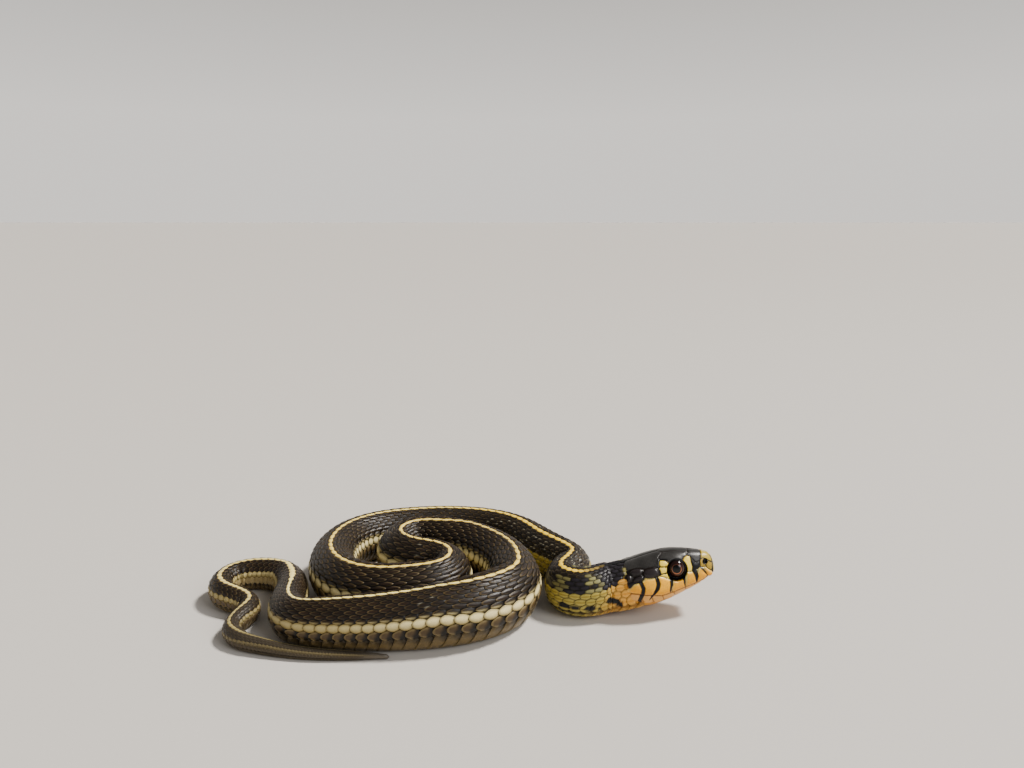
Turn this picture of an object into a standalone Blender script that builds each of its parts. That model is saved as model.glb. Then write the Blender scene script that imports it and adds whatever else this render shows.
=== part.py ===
# Life-size garter snake, resting in a flat coil with its head lifted off the floor.
#
# The body is a loft along one route on the floor. Head, lower jaw, eyes, neck, trunk and tail are
# separate solids that stand 0.3 mm apart. Sizes are in millimetres, X runs along the head, Z is up
# and the floor is Z = 0. The whole is moved at the end, so that its footprint is centred on the origin.

import math

import bmesh
import bpy
import numpy as np
from mathutils import Matrix, Vector

MM = 0.001
GAP = 0.3
MIDDLE = (-1.06, 0.70)  # middle of the footprint below, which is moved to the origin

# Head: its axis runs back from the snout and tips down towards the neck.
SNOUT = (49.6, -6.0, 9.9)
HEAD_LENGTH = 20.5
HEAD_PITCH = 12.0
HEAD_YAW = 3.0
HEAD_ROLL = 5.0
HEAD_SIDES = 32

# Head stations: distance behind the snout, half width, height above and depth below the axis.
HEAD_STATIONS = (
    (0.0, 1.05, 1.15, 1.05),
    (0.3, 1.65, 1.75, 1.55),
    (1.5, 2.35, 2.60, 2.30),
    (3.0, 2.85, 3.15, 2.95),
    (5.0, 3.30, 3.80, 3.65),
    (7.2, 3.75, 4.30, 4.20),
    (9.5, 4.35, 4.50, 4.70),
    (12.5, 4.95, 4.35, 5.15),
    (15.5, 5.10, 4.00, 5.35),
    (18.0, 4.85, 3.80, 5.45),
    (20.5, 4.60, 3.85, 5.45),
)
HEAD_WIDEST = -1.4  # height of the widest level, at the lips
CROWN_POWER = 0.86
CHIN_POWER = 0.80

# Mouth line: distance behind the snout and height on the head axis, up to the corner of the gape.
MOUTH_LINE = (
    (-1.0, -1.10), (0.5, -1.20), (1.5, -1.50), (3.4, -2.05), (5.6, -2.50), (8.4, -2.75), (11.0, -2.80),
    (14.0, -2.05), (17.6, -0.90),
)
JAW_END = (18.3, -8.0)

EYE_BEHIND_SNOUT = 7.65
EYE_HEIGHT = 1.20
EYE_RADIUS = 1.90
EYE_CENTRE_OUT = 2.20
EYE_INNER_FACE = 0.9
BROW_RISE = 0.30
BROW_LENGTH = 2.6
NOSTRIL_BEHIND_SNOUT = 1.6
NOSTRIL_HEIGHT = 1.25
NOSTRIL_RADIUS = 0.42

# Route of the spine over the floor, from the back of the head to the tip of the tail.
ROUTE = (
    (25.8, -8.1), (22.6, -7.9), (20.7, -5.5), (21.4, -2.2), (22.7, 1.4), (20.8, 5.5), (17.8, 9.3),
    (10.9, 18.5), (3.3, 22.5), (-4.7, 23.3), (-12.4, 22.4), (-19.8, 19.8), (-25.7, 14.4), (-28.0, 6.9),
    (-26.6, -1.5), (-21.8, -7.7), (-14.8, -10.3), (-10.6, -10.0), (-6.5, -9.0), (-3.3, -6.6),
    (-3.1, -2.6), (-6.0, 0.2), (-9.7, 1.6), (-12.8, 3.8), (-14.3, 7.4), (-12.8, 10.8), (-9.0, 12.5),
    (-4.6, 11.9), (2.6, 8.0), (5.6, 5.0), (9.7, -2.1), (10.4, -6.0), (10.3, -9.9), (8.1, -13.3),
    (-2.2, -18.7), (-18.4, -20.3), (-26.1, -19.9), (-29.6, -18.7), (-32.1, -15.5), (-33.8, -7.3),
    (-36.7, -0.2), (-40.2, 2.1), (-44.1, 2.7), (-47.9, 1.3), (-49.4, -2.1), (-47.7, -5.9),
    (-44.4, -7.9), (-41.3, -10.1), (-41.3, -14.0), (-42.0, -17.9), (-39.6, -21.0), (-35.9, -22.6),
    (-28.3, -24.5), (-12.1, -24.8),
)
NECK_LIFT = 0.35
NECK_LIFT_LENGTH = 7.0

# Body height along the route: distance from the back of the head, height of the body there.
GIRTH = (
    (0.0, 9.2), (41.0, 9.6), (91.0, 10.5), (127.0, 11.3), (160.0, 11.7), (195.0, 11.7), (221.0, 9.3),
    (238.0, 7.4), (245.0, 6.9), (257.0, 6.3), (273.0, 5.3), (281.0, 4.4), (290.0, 3.3), (298.0, 2.5),
    (309.0, 1.8), (315.0, 1.3), (317.6, 0.8),
)
BODY_SIDES = 22
WIDTH_SHARE = 0.47  # half width of the body, as a share of its height
WIDEST_SHARE = 0.47  # height of the widest level, as a share of the height
BELLY_POWER = 0.92
FLAT_SHARE = 0.05  # how much of the height the flat belly cuts off
INNER_SQUEEZE = 0.80  # share of a bend's radius that the flesh on its inner side may fill
OUTER_SQUEEZE = 0.10
TOUCH_CLEARANCE = 0.20  # half the space left where two lengths lie against each other
TOUCH_REACH = 5.0  # how far along the body a neighbour is looked for
TOUCH_LIKENESS = 0.6  # a neighbour thinner than this share lies under the flank and presses on nothing
SAME_BEND_LENGTH = 9.0
NECK_BLEND = 16.0
RING_STEP = 2.6
BEND_RING_TURN = 11.0
AXIS_SAMPLES = 3001
ROOM_SAMPLES = 641

# Where the body is parted: distance from the back of the head, and the length that ends there.
LENGTHS = (
    ("neck", 0.0, 28.0),
    ("trunk_1", 28.0, 66.0),
    ("trunk_2", 66.0, 92.0),
    ("trunk_3", 92.0, 122.0),
    ("trunk_4", 122.0, 140.0),
    ("trunk_5", 140.0, 164.0),
    ("trunk_6", 164.0, 194.0),
    ("trunk_7", 194.0, 234.0),
    ("tail_1", 234.0, 256.0),
    ("tail_2", 256.0, 279.0),
    ("tail_3", 279.0, None),
)

HEAD_COLOUR = (0.030, 0.028, 0.026)
JAW_COLOUR = (0.760, 0.480, 0.230)
EYE_COLOUR = (0.045, 0.022, 0.015)
BODY_COLOUR = (0.050, 0.040, 0.032)
TAIL_COLOUR = (0.085, 0.072, 0.050)


def clear_scene():
    for item in list(bpy.data.objects):
        bpy.data.objects.remove(item, do_unlink=True)


def skin_material(name, colour, roughness):
    material = bpy.data.materials.new(name)
    material.use_nodes = True
    shader = material.node_tree.nodes["Principled BSDF"]
    shader.inputs["Base Color"].default_value = (*colour, 1.0)
    shader.inputs["Roughness"].default_value = roughness
    shader.inputs["Metallic"].default_value = 0.0
    return material


def spline_through(points, start_slope):
    """Second derivatives of the cubic spline through points, by chord length, with a given start slope."""
    knots = np.r_[0.0, np.cumsum(np.linalg.norm(np.diff(points, axis=0), axis=1))]
    step = np.diff(knots)
    count = len(points)
    system = np.zeros((count, count))
    right = np.zeros((count, 2))
    rise = np.diff(points, axis=0) / step[:, None]
    system[0, :2] = 2 * step[0], step[0]
    right[0] = 6 * (rise[0] - start_slope)
    system[-1, -1] = 1.0
    for i in range(1, count - 1):
        system[i, i - 1 : i + 2] = step[i - 1], 2 * (step[i - 1] + step[i]), step[i]
        right[i] = 6 * (rise[i] - rise[i - 1])
    return knots, np.linalg.solve(system, right)


def spline_at(knots, points, bends, where):
    i = np.clip(np.searchsorted(knots, where, side="right") - 1, 0, len(knots) - 2)
    h = knots[i + 1] - knots[i]
    a = ((knots[i + 1] - where) / h)[:, None]
    b = ((where - knots[i]) / h)[:, None]
    curve = ((a**3 - a) * bends[i] + (b**3 - b) * bends[i + 1]) * (h**2)[:, None] / 6
    return a * points[i] + b * points[i + 1] + curve


def head_frame():
    """Matrix from head axes (forward, left, up, from the snout) to the model, in millimetres."""
    turn = (
        Matrix.Rotation(math.radians(HEAD_YAW), 4, "Z")
        @ Matrix.Rotation(math.radians(-HEAD_PITCH), 4, "Y")
        @ Matrix.Rotation(math.radians(-HEAD_ROLL), 4, "X")
    )
    return Matrix.Translation(Vector(SNOUT)) @ turn


def side_room(distance, points, angle, girth):
    """Half widths that neighbouring lengths leave free on the left and the right, along the route."""
    pick = np.linspace(0, len(distance) - 1, ROOM_SAMPLES).astype(int)
    where, place, height = distance[pick], points[pick], girth[pick]
    ahead = np.c_[np.cos(angle[pick]), np.sin(angle[pick])]
    leftward = np.c_[-ahead[:, 1], ahead[:, 0]]
    between = place[None] - place[:, None]
    along = (between * ahead[:, None]).sum(2)
    aside = (between * leftward[:, None]).sum(2)
    apart = np.abs(where[None] - where[:, None]) > SAME_BEND_LENGTH
    alike = np.minimum(height[None], height[:, None]) > TOUCH_LIKENESS * np.maximum(
        height[None], height[:, None]
    )
    share = height[:, None] / (height[:, None] + height[None])
    free = np.hypot(along, aside) * share - TOUCH_CLEARANCE
    room = {}
    for side, sign in (("left", 1), ("right", -1)):
        beside = apart & alike & (sign * aside > 0) & (np.abs(along) < TOUCH_REACH)
        nearest = np.where(beside, free, WIDTH_SHARE * height[:, None]).min(1)
        spread = np.convolve(np.pad(nearest, 4, mode="edge"), np.full(9, 1 / 9), "valid")
        room[side] = np.interp(distance, where, np.minimum(nearest, spread))
    return room


def body_axis():
    """Closely spaced points of the route, with distance, heading, bend, lift, height and room."""
    frame = head_frame()
    base = frame @ Vector((-HEAD_LENGTH, 0, 0))
    forward = (frame.to_3x3() @ Vector((1, 0, 0))).to_2d().normalized()
    points = np.array([(base.x, base.y), *ROUTE])
    knots, bends = spline_through(points, -np.array(forward))
    fine = spline_at(knots, points, bends, np.linspace(0.0, knots[-1], AXIS_SAMPLES))
    distance = np.r_[0.0, np.cumsum(np.linalg.norm(np.diff(fine, axis=0), axis=1))]
    heading = np.gradient(fine, distance, axis=0)
    heading /= np.linalg.norm(heading, axis=1)[:, None]
    angle = np.unwrap(np.arctan2(heading[:, 1], heading[:, 0]))
    table = np.array(GIRTH).T
    girth = np.interp(distance, table[0], table[1])
    axis = {"distance": distance, "x": fine[:, 0], "y": fine[:, 1], "angle": angle, "girth": girth}
    axis["bend"] = np.gradient(angle, distance)
    axis["lift"] = NECK_LIFT * np.clip(1 - distance / NECK_LIFT_LENGTH, 0, 1) ** 2
    axis.update(side_room(distance, fine, angle, girth))
    return axis


def smooth_step(value):
    value = min(max(value, 0.0), 1.0)
    return value * value * (3 - 2 * value)


def signed_power(value, power):
    return math.copysign(abs(value) ** power, value)


def ring(left, right, widest, top, bottom, upper_power, lower_power, sides):
    """Closed outline (sideways, up): two half widths, and a level where it is widest."""
    outline = []
    for i in range(sides):
        turn = 2 * math.pi * (i + 0.5) / sides
        out, up = math.sin(turn), math.cos(turn)
        power = upper_power if up > 0 else lower_power
        half = left if out > 0 else right
        height = top - widest if up > 0 else widest - bottom
        outline.append((half * signed_power(out, power), widest + height * signed_power(up, power)))
    return outline


def station_values(behind):
    columns = np.array(HEAD_STATIONS).T
    return [float(np.interp(behind, columns[0], column)) for column in columns[1:]]


def head_station_smooth(behind):
    """Half width, top and bottom of the head, smoothed between the stations."""
    spread = 0.35
    near = [station_values(min(max(behind + d, 0.0), HEAD_LENGTH)) for d in (-spread, 0.0, spread)]
    if behind < 2 * spread or behind > HEAD_LENGTH - 2 * spread:
        return near[1]
    return [(a + 2 * b + c) / 4 for a, b, c in zip(*near)]


def head_ring(behind, sides=HEAD_SIDES):
    half, top, depth = head_station_smooth(behind)
    widest = max(HEAD_WIDEST, -0.75 * depth)
    outline = ring(half, half, widest, top, -depth, CROWN_POWER, CHIN_POWER, sides)
    brow = math.exp(-(((behind - EYE_BEHIND_SNOUT) / BROW_LENGTH) ** 2))
    shaped = []
    for out, up in outline:
        ledge = math.exp(-(((up - top * 0.80) / 0.9) ** 2)) * brow
        orbit = math.exp(-(((up - EYE_HEIGHT) / 1.1) ** 2)) * brow
        shift = BROW_RISE * (ledge - 0.6 * orbit)
        shaped.append((out + math.copysign(shift, out) * min(abs(out) / half, 1.0), up))
    return shaped


def body_ring(here):
    """Body outline above the belly line. The flesh is squeezed inside a bend and against a neighbour."""
    height, bend = here["girth"], here["bend"]
    half = WIDTH_SHARE * height
    radius = 1 / max(abs(bend), 1e-6)
    inner = 1 / (half**-4 + (INNER_SQUEEZE * radius) ** -4) ** 0.25
    outer = half * (1 - OUTER_SQUEEZE * min(half / radius, 1.0))
    left, right = (inner, outer) if bend > 0 else (outer, inner)
    left, right = min(left, here["left"]), min(right, here["right"])
    cut = FLAT_SHARE * height
    widest = WIDEST_SHARE * height
    outline = ring(left, right, widest, height, -cut, 1.0, BELLY_POWER, BODY_SIDES)
    return [(out, max(up, 0.0)) for out, up in outline]


def body_station(axis, where):
    """Ring of the body in the model's axes at a distance along the route."""
    here = {name: float(np.interp(where, axis["distance"], axis[name])) for name in axis}
    slope = -2 * NECK_LIFT / NECK_LIFT_LENGTH * max(1 - where / NECK_LIFT_LENGTH, 0.0)
    ahead = Vector((math.cos(here["angle"]), math.sin(here["angle"]), slope)).normalized()
    left = Vector((-ahead.y, ahead.x, 0)).normalized()
    up = ahead.cross(left)
    shape = body_ring(here)
    blend = smooth_step(1 - where / NECK_BLEND)
    if blend > 0:
        head = head_ring(HEAD_LENGTH, BODY_SIDES)
        depth = -min(rise for _, rise in head)
        roll = math.radians(HEAD_ROLL) * blend
        mixed = []
        for (body_out, body_up), (head_out, head_up) in zip(shape, head):
            out = body_out * (1 - blend) + head_out * blend
            rise = body_up * (1 - blend) + (head_up + depth) * blend - depth
            turned = out * math.sin(roll) + rise * math.cos(roll) + depth
            mixed.append((out * math.cos(roll) - rise * math.sin(roll), max(turned, -here["lift"])))
        shape = mixed
    floor = Vector((here["x"], here["y"], here["lift"]))
    return [floor + left * out + up * rise for out, rise in shape]


def ring_places(axis, start, end):
    """Distances of the rings between two cuts, closer together where the body bends."""
    places = [start]
    while places[-1] < end:
        here = places[-1]
        bend = abs(float(np.interp(here + 0.5 * RING_STEP, axis["distance"], axis["bend"])))
        step = min(RING_STEP, math.radians(BEND_RING_TURN) / max(bend, 1e-6))
        places.append(here + step)
    scale = (end - start) / (places[-1] - start)
    return [start + (place - start) * scale for place in places]


def loft(name, rings, material):
    """Closed mesh through rings of equal count, with flat caps at both ends."""
    mesh = bmesh.new()
    loops = [[mesh.verts.new(point * MM) for point in outline] for outline in rings]
    for first, second in zip(loops, loops[1:]):
        for i in range(len(first)):
            j = (i + 1) % len(first)
            mesh.faces.new((first[i], first[j], second[j], second[i]))
    mesh.faces.new(list(reversed(loops[0])))
    mesh.faces.new(loops[-1])
    bmesh.ops.recalc_face_normals(mesh, faces=mesh.faces)
    data = bpy.data.meshes.new(name)
    mesh.to_mesh(data)
    mesh.free()
    data.materials.append(material)
    data.shade_smooth()
    item = bpy.data.objects.new(name, data)
    snake.objects.link(item)
    return item


def cutter_object(name, mesh):
    bmesh.ops.recalc_face_normals(mesh, faces=mesh.faces)
    data = bpy.data.meshes.new(name)
    mesh.to_mesh(data)
    mesh.free()
    item = bpy.data.objects.new(name, data)
    item.hide_render = True
    item.display_type = "WIRE"
    cutters.objects.link(item)
    return item


def ball_cutter(name, centre, radius, inner_face, side):
    """Ball in head axes, kept only outside a plane parallel to the head's middle."""
    mesh = bmesh.new()
    bmesh.ops.create_uvsphere(mesh, u_segments=24, v_segments=16, radius=radius)
    bmesh.ops.rotate(mesh, verts=mesh.verts, matrix=Matrix.Rotation(math.pi / 2, 3, "X"))
    bmesh.ops.translate(mesh, verts=mesh.verts, vec=centre)
    bmesh.ops.bisect_plane(
        mesh,
        geom=mesh.verts[:] + mesh.edges[:] + mesh.faces[:],
        plane_co=(0, side * inner_face, 0),
        plane_no=(0, -side, 0),
        clear_outer=True,
    )
    bmesh.ops.holes_fill(mesh, edges=mesh.edges)
    bmesh.ops.transform(mesh, verts=mesh.verts, matrix=Matrix.Scale(MM, 4) @ head_frame())
    return cutter_object(name, mesh)


def jaw_outline(gap):
    """Side outline of the lower jaw, from the mouth line down, in head axes."""
    lips = np.array(MOUTH_LINE)
    behind = np.linspace(lips[0, 0], lips[-1, 0], 25)
    level = np.interp(behind, lips[:, 0], lips[:, 1])
    level[1:-1] = (level[:-2] + 2 * level[1:-1] + level[2:]) / 4
    line = [(-back, up + gap) for back, up in zip(behind, level)]
    corner = (line[-1][0] - gap, line[-1][1])
    return [*line, corner, (-JAW_END[0] - gap, JAW_END[1]), (2.0, JAW_END[1])]


def prism_cutter(name, outline):
    """Prism across the head from an outline (forward, up)."""
    mesh = bmesh.new()
    reach = 8.0
    sides = [[mesh.verts.new((ahead, side, up)) for ahead, up in outline] for side in (-reach, reach)]
    for i in range(len(outline)):
        j = (i + 1) % len(outline)
        mesh.faces.new((sides[0][i], sides[0][j], sides[1][j], sides[1][i]))
    mesh.faces.new(list(reversed(sides[0])))
    mesh.faces.new(sides[1])
    bmesh.ops.transform(mesh, verts=mesh.verts, matrix=Matrix.Scale(MM, 4) @ head_frame())
    return cutter_object(name, mesh)


def boolean(item, operation, other):
    modifier = item.modifiers.new(operation.lower() + "_" + other.name, "BOOLEAN")
    modifier.operation = operation
    modifier.solver = "EXACT"
    modifier.object = other


def head_loft(name, material):
    stations = [*np.arange(0.0, 1.5, 0.3), *np.arange(1.5, HEAD_LENGTH, 0.75), HEAD_LENGTH]
    frame = head_frame()
    rings = []
    for behind in stations:
        rings.append([frame @ Vector((-behind, out, up)) for out, up in head_ring(behind)])
    return loft(name, rings, material)


def build_head(head_skin, jaw_skin, eye_skin):
    head = head_loft("head", head_skin)
    jaw = head_loft("lower_jaw", jaw_skin)
    boolean(jaw, "INTERSECT", prism_cutter("jaw_block", jaw_outline(0.0)))
    boolean(head, "DIFFERENCE", prism_cutter("jaw_space", jaw_outline(GAP)))
    for side, name in ((1, "left"), (-1, "right")):
        centre = Vector((-EYE_BEHIND_SNOUT, side * EYE_CENTRE_OUT, EYE_HEIGHT))
        socket = ball_cutter(
            "socket_" + name, centre, EYE_RADIUS + GAP, EYE_INNER_FACE - GAP, side
        )
        boolean(head, "DIFFERENCE", socket)
        eye = ball_cutter("eye_" + name, centre, EYE_RADIUS, EYE_INNER_FACE, side)
        cutters.objects.unlink(eye)
        snake.objects.link(eye)
        eye.hide_render = False
        eye.display_type = "TEXTURED"
        eye.data.materials.append(eye_skin)
        eye.data.shade_smooth()
        half = head_station_smooth(NOSTRIL_BEHIND_SNOUT)[0]
        nostril = Vector((-NOSTRIL_BEHIND_SNOUT, side * half * 0.93, NOSTRIL_HEIGHT))
        boolean(
            head, "DIFFERENCE", ball_cutter("nostril_" + name, nostril, NOSTRIL_RADIUS, 0.5, side)
        )


def build_body(skin, tail_skin):
    axis = body_axis()
    for name, start, end in LENGTHS:
        first = start + (GAP if start == 0 else GAP / 2)
        last = axis["distance"][-1] if end is None else end - GAP / 2
        rings = [body_station(axis, place) for place in ring_places(axis, first, last)]
        loft(name, rings, tail_skin if name.startswith("tail") else skin)


clear_scene()
snake = bpy.data.collections.new("garter_snake")
cutters = bpy.data.collections.new("cutters")
for group in (snake, cutters):
    bpy.context.scene.collection.children.link(group)
build_head(
    skin_material("head_skin", HEAD_COLOUR, 0.4),
    skin_material("jaw_skin", JAW_COLOUR, 0.5),
    skin_material("eye", EYE_COLOUR, 0.08),
)
build_body(
    skin_material("body_skin", BODY_COLOUR, 0.5),
    skin_material("tail_skin", TAIL_COLOUR, 0.5),
)
for item in [*snake.objects, *cutters.objects]:
    item.location = Vector((-MIDDLE[0], -MIDDLE[1], 0.0)) * MM
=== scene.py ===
import math

import bpy
import numpy as np
from mathutils import Matrix, Vector


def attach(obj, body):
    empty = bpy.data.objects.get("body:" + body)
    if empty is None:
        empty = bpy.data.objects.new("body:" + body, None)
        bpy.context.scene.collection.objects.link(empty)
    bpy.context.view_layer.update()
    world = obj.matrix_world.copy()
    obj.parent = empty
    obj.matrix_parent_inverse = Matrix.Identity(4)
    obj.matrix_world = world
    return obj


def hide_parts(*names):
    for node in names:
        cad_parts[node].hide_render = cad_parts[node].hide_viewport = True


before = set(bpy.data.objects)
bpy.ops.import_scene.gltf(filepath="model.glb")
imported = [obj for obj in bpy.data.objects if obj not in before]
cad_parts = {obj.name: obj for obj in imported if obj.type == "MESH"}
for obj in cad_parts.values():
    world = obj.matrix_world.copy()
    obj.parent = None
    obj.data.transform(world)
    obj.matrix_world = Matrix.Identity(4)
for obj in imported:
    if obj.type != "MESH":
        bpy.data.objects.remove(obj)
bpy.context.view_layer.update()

# A garter snake in a flat coil. Lengths are in millimetres until a mesh is made, and mm turns them to metres.
# Everything lies on one surface, told by two numbers: s, the distance behind the head along the spine
# (below 0 on the head), and q, the way round the body: 0 on the back, 1 or -1 on the belly, and above 0
# on the animal's right side, which the camera sees at the head.
mm = 0.001

spine = {
    "shift": (1.06, -0.70),  # middle of the coil to the origin
    "snout": (49.6, -6.0, 9.9),
    "headLength": 20.5,
    "headPitch": 12.0,
    "headYaw": 3.0,
    "headRoll": 5.0,
    # centre line over the floor, from the back of the head to the tip of the tail
    "route": [
        (25.8, -8.1), (22.6, -7.9), (20.7, -5.5), (21.4, -2.2), (22.7, 1.4), (20.8, 5.5), (17.8, 9.3),
        (10.9, 18.5), (3.3, 22.5), (-4.7, 23.3), (-12.4, 22.4), (-19.8, 19.8), (-25.7, 14.4),
        (-28.0, 6.9), (-26.6, -1.5), (-21.8, -7.7), (-14.8, -10.3), (-10.6, -10.0), (-6.5, -9.0),
        (-3.3, -6.6), (-3.1, -2.6), (-6.0, 0.2), (-9.7, 1.6), (-12.8, 3.8), (-14.3, 7.4), (-12.8, 10.8),
        (-9.0, 12.5), (-4.6, 11.9), (2.6, 8.0), (5.6, 5.0), (9.7, -2.1), (10.4, -6.0), (10.3, -9.9),
        (8.1, -13.3), (-2.2, -18.7), (-18.4, -20.3), (-26.1, -19.9), (-29.6, -18.7), (-32.1, -15.5),
        (-33.8, -7.3), (-36.7, -0.2), (-40.2, 2.1), (-44.1, 2.7), (-47.9, 1.3), (-49.4, -2.1),
        (-47.7, -5.9), (-44.4, -7.9), (-41.3, -10.1), (-41.3, -14.0), (-42.0, -17.9), (-39.6, -21.0),
        (-35.9, -22.6), (-28.3, -24.5), (-12.1, -24.8),
    ],
    "lift": 0.35,  # the neck's rise off the floor behind the head
    "liftLength": 7.0,
    # height of the body along the route
    "girth": [
        (0, 9.2), (41, 9.6), (91, 10.5), (127, 11.3), (160, 11.7), (195, 11.7), (221, 9.3), (238, 7.4),
        (245, 6.9), (257, 6.3), (273, 5.3), (281, 4.4), (290, 3.3), (298, 2.5), (309, 1.8), (315, 1.3),
        (317.6, 0.8),
    ],
    "widthShare": 0.47,
    "widestShare": 0.47,
    "bellyPower": 0.92,
    "flatShare": 0.05,
    "innerSqueeze": 0.80,
    "outerSqueeze": 0.10,
    "clearance": 0.20,
    "touchReach": 5.0,
    "touchLikeness": 0.6,
    "sameBend": 9.0,
    "neckBlend": 16.0,
    # where the stripe on the back leans towards one flank: distance, share of half the girth
    "lean": [
        (0, 0), (6, 0.065), (10, 0.085), (14, 0.02), (18, 0.015), (30, 0.04), (40, 0), (58, -0.02), (66, 0),
        (150, -0.03), (155, -0.035), (162, 0.035), (182, 0.045), (196, 0.02), (202, -0.03), (214, 0.0),
        (230, -0.03), (247, -0.02), (250, -0.08), (255, -0.03), (266, -0.025), (271, 0.045), (278, 0.015),
        (282, -0.10), (286, -0.06), (291, 0.07), (296, 0.15), (318, 0.15),
    ],
}

headForm = {
    # distance behind the snout, half width, height above and depth below the head's axis
    "stations": [
        (-0.15, 0.0, 0.05, -0.05), (0.0, 1.05, 1.15, 1.05), (0.3, 1.65, 1.75, 1.55), (1.5, 2.35, 2.60, 2.30),
        (3.0, 2.85, 3.15, 2.95), (5.0, 3.30, 3.80, 3.65), (7.2, 3.75, 4.30, 4.20), (9.5, 4.35, 4.50, 4.70),
        (12.5, 4.95, 4.35, 5.15), (15.5, 5.10, 4.00, 5.35), (18.0, 4.85, 3.80, 5.45),
        (20.5, 4.60, 3.85, 5.45),
    ],
    "widest": -1.4,
    "crownPower": 0.86,
    "chinPower": 0.80,
    "eyeBehind": 7.65,
    "eyeUp": 1.20,
    "eyeOut": 2.20,
    "eyeRadius": 1.90,
    "browRise": 0.30,
    "browLength": 2.6,
}


# Smooth curve through knots: on each span a cubic with the slopes of the chords at its two ends.
def hermite(knots, values, where):
    slope = np.gradient(values, knots)
    i = np.clip(np.searchsorted(knots, where, side="right") - 1, 0, len(knots) - 2)
    h = knots[i + 1] - knots[i]
    t = np.clip((where - knots[i]) / h, 0, 1)
    return (
        (2 * t**3 - 3 * t**2 + 1) * values[i]
        + (t**3 - 2 * t**2 + t) * h * slope[i]
        + (3 * t**2 - 2 * t**3) * values[i + 1]
        + (t**3 - t**2) * h * slope[i + 1]
    )


# 0 below the first edge, 1 above the second, and 3t^2 - 2t^3 between them.
def smooth(low, high, value):
    t = np.clip((value - low) / (high - low), 0, 1)
    return t * t * (3 - 2 * t)


def table(rows, where):
    columns = np.array(rows, float).T
    return np.interp(where, columns[0], columns[1])


# Cubic spline through points by chord length: second derivatives that make the slopes meet.
def splineThrough(points, startSlope):
    knots = np.r_[0.0, np.cumsum(np.linalg.norm(np.diff(points, axis=0), axis=1))]
    step = np.diff(knots)
    rise = np.diff(points, axis=0) / step[:, None]
    inner = np.r_[2 * step[0], 2 * (step[:-1] + step[1:]), 1.0]
    system = np.diag(inner) + np.diag(step, 1) + np.diag(np.r_[step[:-1], 0.0], -1)
    right = 6 * np.vstack([rise[0] - startSlope, np.diff(rise, axis=0), np.zeros(2)])
    return knots, np.linalg.solve(system, right)


def splineAt(knots, points, bends, where):
    i = np.clip(np.searchsorted(knots, where, side="right") - 1, 0, len(knots) - 2)
    h = knots[i + 1] - knots[i]
    a = ((knots[i + 1] - where) / h)[:, None]
    b = ((where - knots[i]) / h)[:, None]
    curve = ((a**3 - a) * bends[i] + (b**3 - b) * bends[i + 1]) * (h**2)[:, None] / 6
    return a * points[i] + b * points[i + 1] + curve


# Head axes (forward, left, up, from the snout) to the model.
def headMatrix():
    turn = (
        Matrix.Rotation(math.radians(spine["headYaw"]), 4, "Z")
        @ Matrix.Rotation(math.radians(-spine["headPitch"]), 4, "Y")
        @ Matrix.Rotation(math.radians(-spine["headRoll"]), 4, "X")
    )
    x, y = spine["shift"]
    snout = spine["snout"]
    return np.array(Matrix.Translation((snout[0] + x, snout[1] + y, snout[2])) @ turn)


headTurn = headMatrix()


def fromHead(points):
    return points @ headTurn[:3, :3].T + headTurn[:3, 3]


# The route's own numbers at close steps: place, heading, bend, height, and the half widths that
# neighbouring lengths leave free, which is the distance between them shared by their heights.
def spineAxis():
    base = fromHead(np.array([-spine["headLength"], 0, 0]))[:2]
    points = np.vstack([base, np.array(spine["route"]) + spine["shift"]])
    forward = headTurn[:2, 0] / np.linalg.norm(headTurn[:2, 0])
    knots, bends = splineThrough(points, -forward)
    fine = splineAt(knots, points, bends, np.linspace(0.0, knots[-1], 3001))
    s = np.r_[0.0, np.cumsum(np.linalg.norm(np.diff(fine, axis=0), axis=1))]
    heading = np.gradient(fine, s, axis=0)
    angle = np.unwrap(np.arctan2(heading[:, 1], heading[:, 0]))
    girth = table(spine["girth"], s)
    axis = {"s": s, "x": fine[:, 0], "y": fine[:, 1], "angle": angle, "girth": girth}
    axis["bend"] = np.gradient(angle, s)
    axis["lift"] = spine["lift"] * np.clip(1 - s / spine["liftLength"], 0, 1) ** 2
    pick = np.linspace(0, len(s) - 1, 641).astype(int)
    where, place, height = s[pick], fine[pick], girth[pick]
    ahead = np.c_[np.cos(angle[pick]), np.sin(angle[pick])]
    leftward = np.c_[-ahead[:, 1], ahead[:, 0]]
    between = place[None] - place[:, None]
    along = (between * ahead[:, None]).sum(2)
    aside = (between * leftward[:, None]).sum(2)
    apart = np.abs(where[None] - where[:, None]) > spine["sameBend"]
    thinner = np.minimum(height[None], height[:, None])
    thicker = np.maximum(height[None], height[:, None])
    near = apart & (thinner > spine["touchLikeness"] * thicker) & (np.abs(along) < spine["touchReach"])
    free = np.hypot(along, aside) * height[:, None] / (height[:, None] + height[None])
    for name, sign in (("left", 1), ("right", -1)):
        least = np.where(near & (sign * aside > 0), free - spine["clearance"], 0.47 * height[:, None]).min(1)
        spread = np.convolve(np.pad(least, 4, mode="edge"), np.full(9, 1 / 9), "valid")
        axis[name] = np.interp(s, where, np.minimum(least, spread))
    return axis


axis = spineAxis()
bodyEnd = axis["s"][-1]


# Closed outline: half width times |sin|^power, and the height above or below the widest level
# times |cos|^power, with its own half width on each side.
def ringOutline(left, right, widest, top, bottom, upperPower, lowerPower, turns):
    out, up = np.sin(turns)[None], np.cos(turns)[None]
    power = np.where(up > 0, upperPower, lowerPower)
    half = np.where(out > 0, left[:, None], right[:, None])
    height = np.where(up > 0, (top - widest)[:, None], (widest - bottom)[:, None])
    return (
        half * np.sign(out) * np.abs(out) ** power,
        widest[:, None] + height * np.sign(up) * np.abs(up) ** power,
    )


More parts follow.
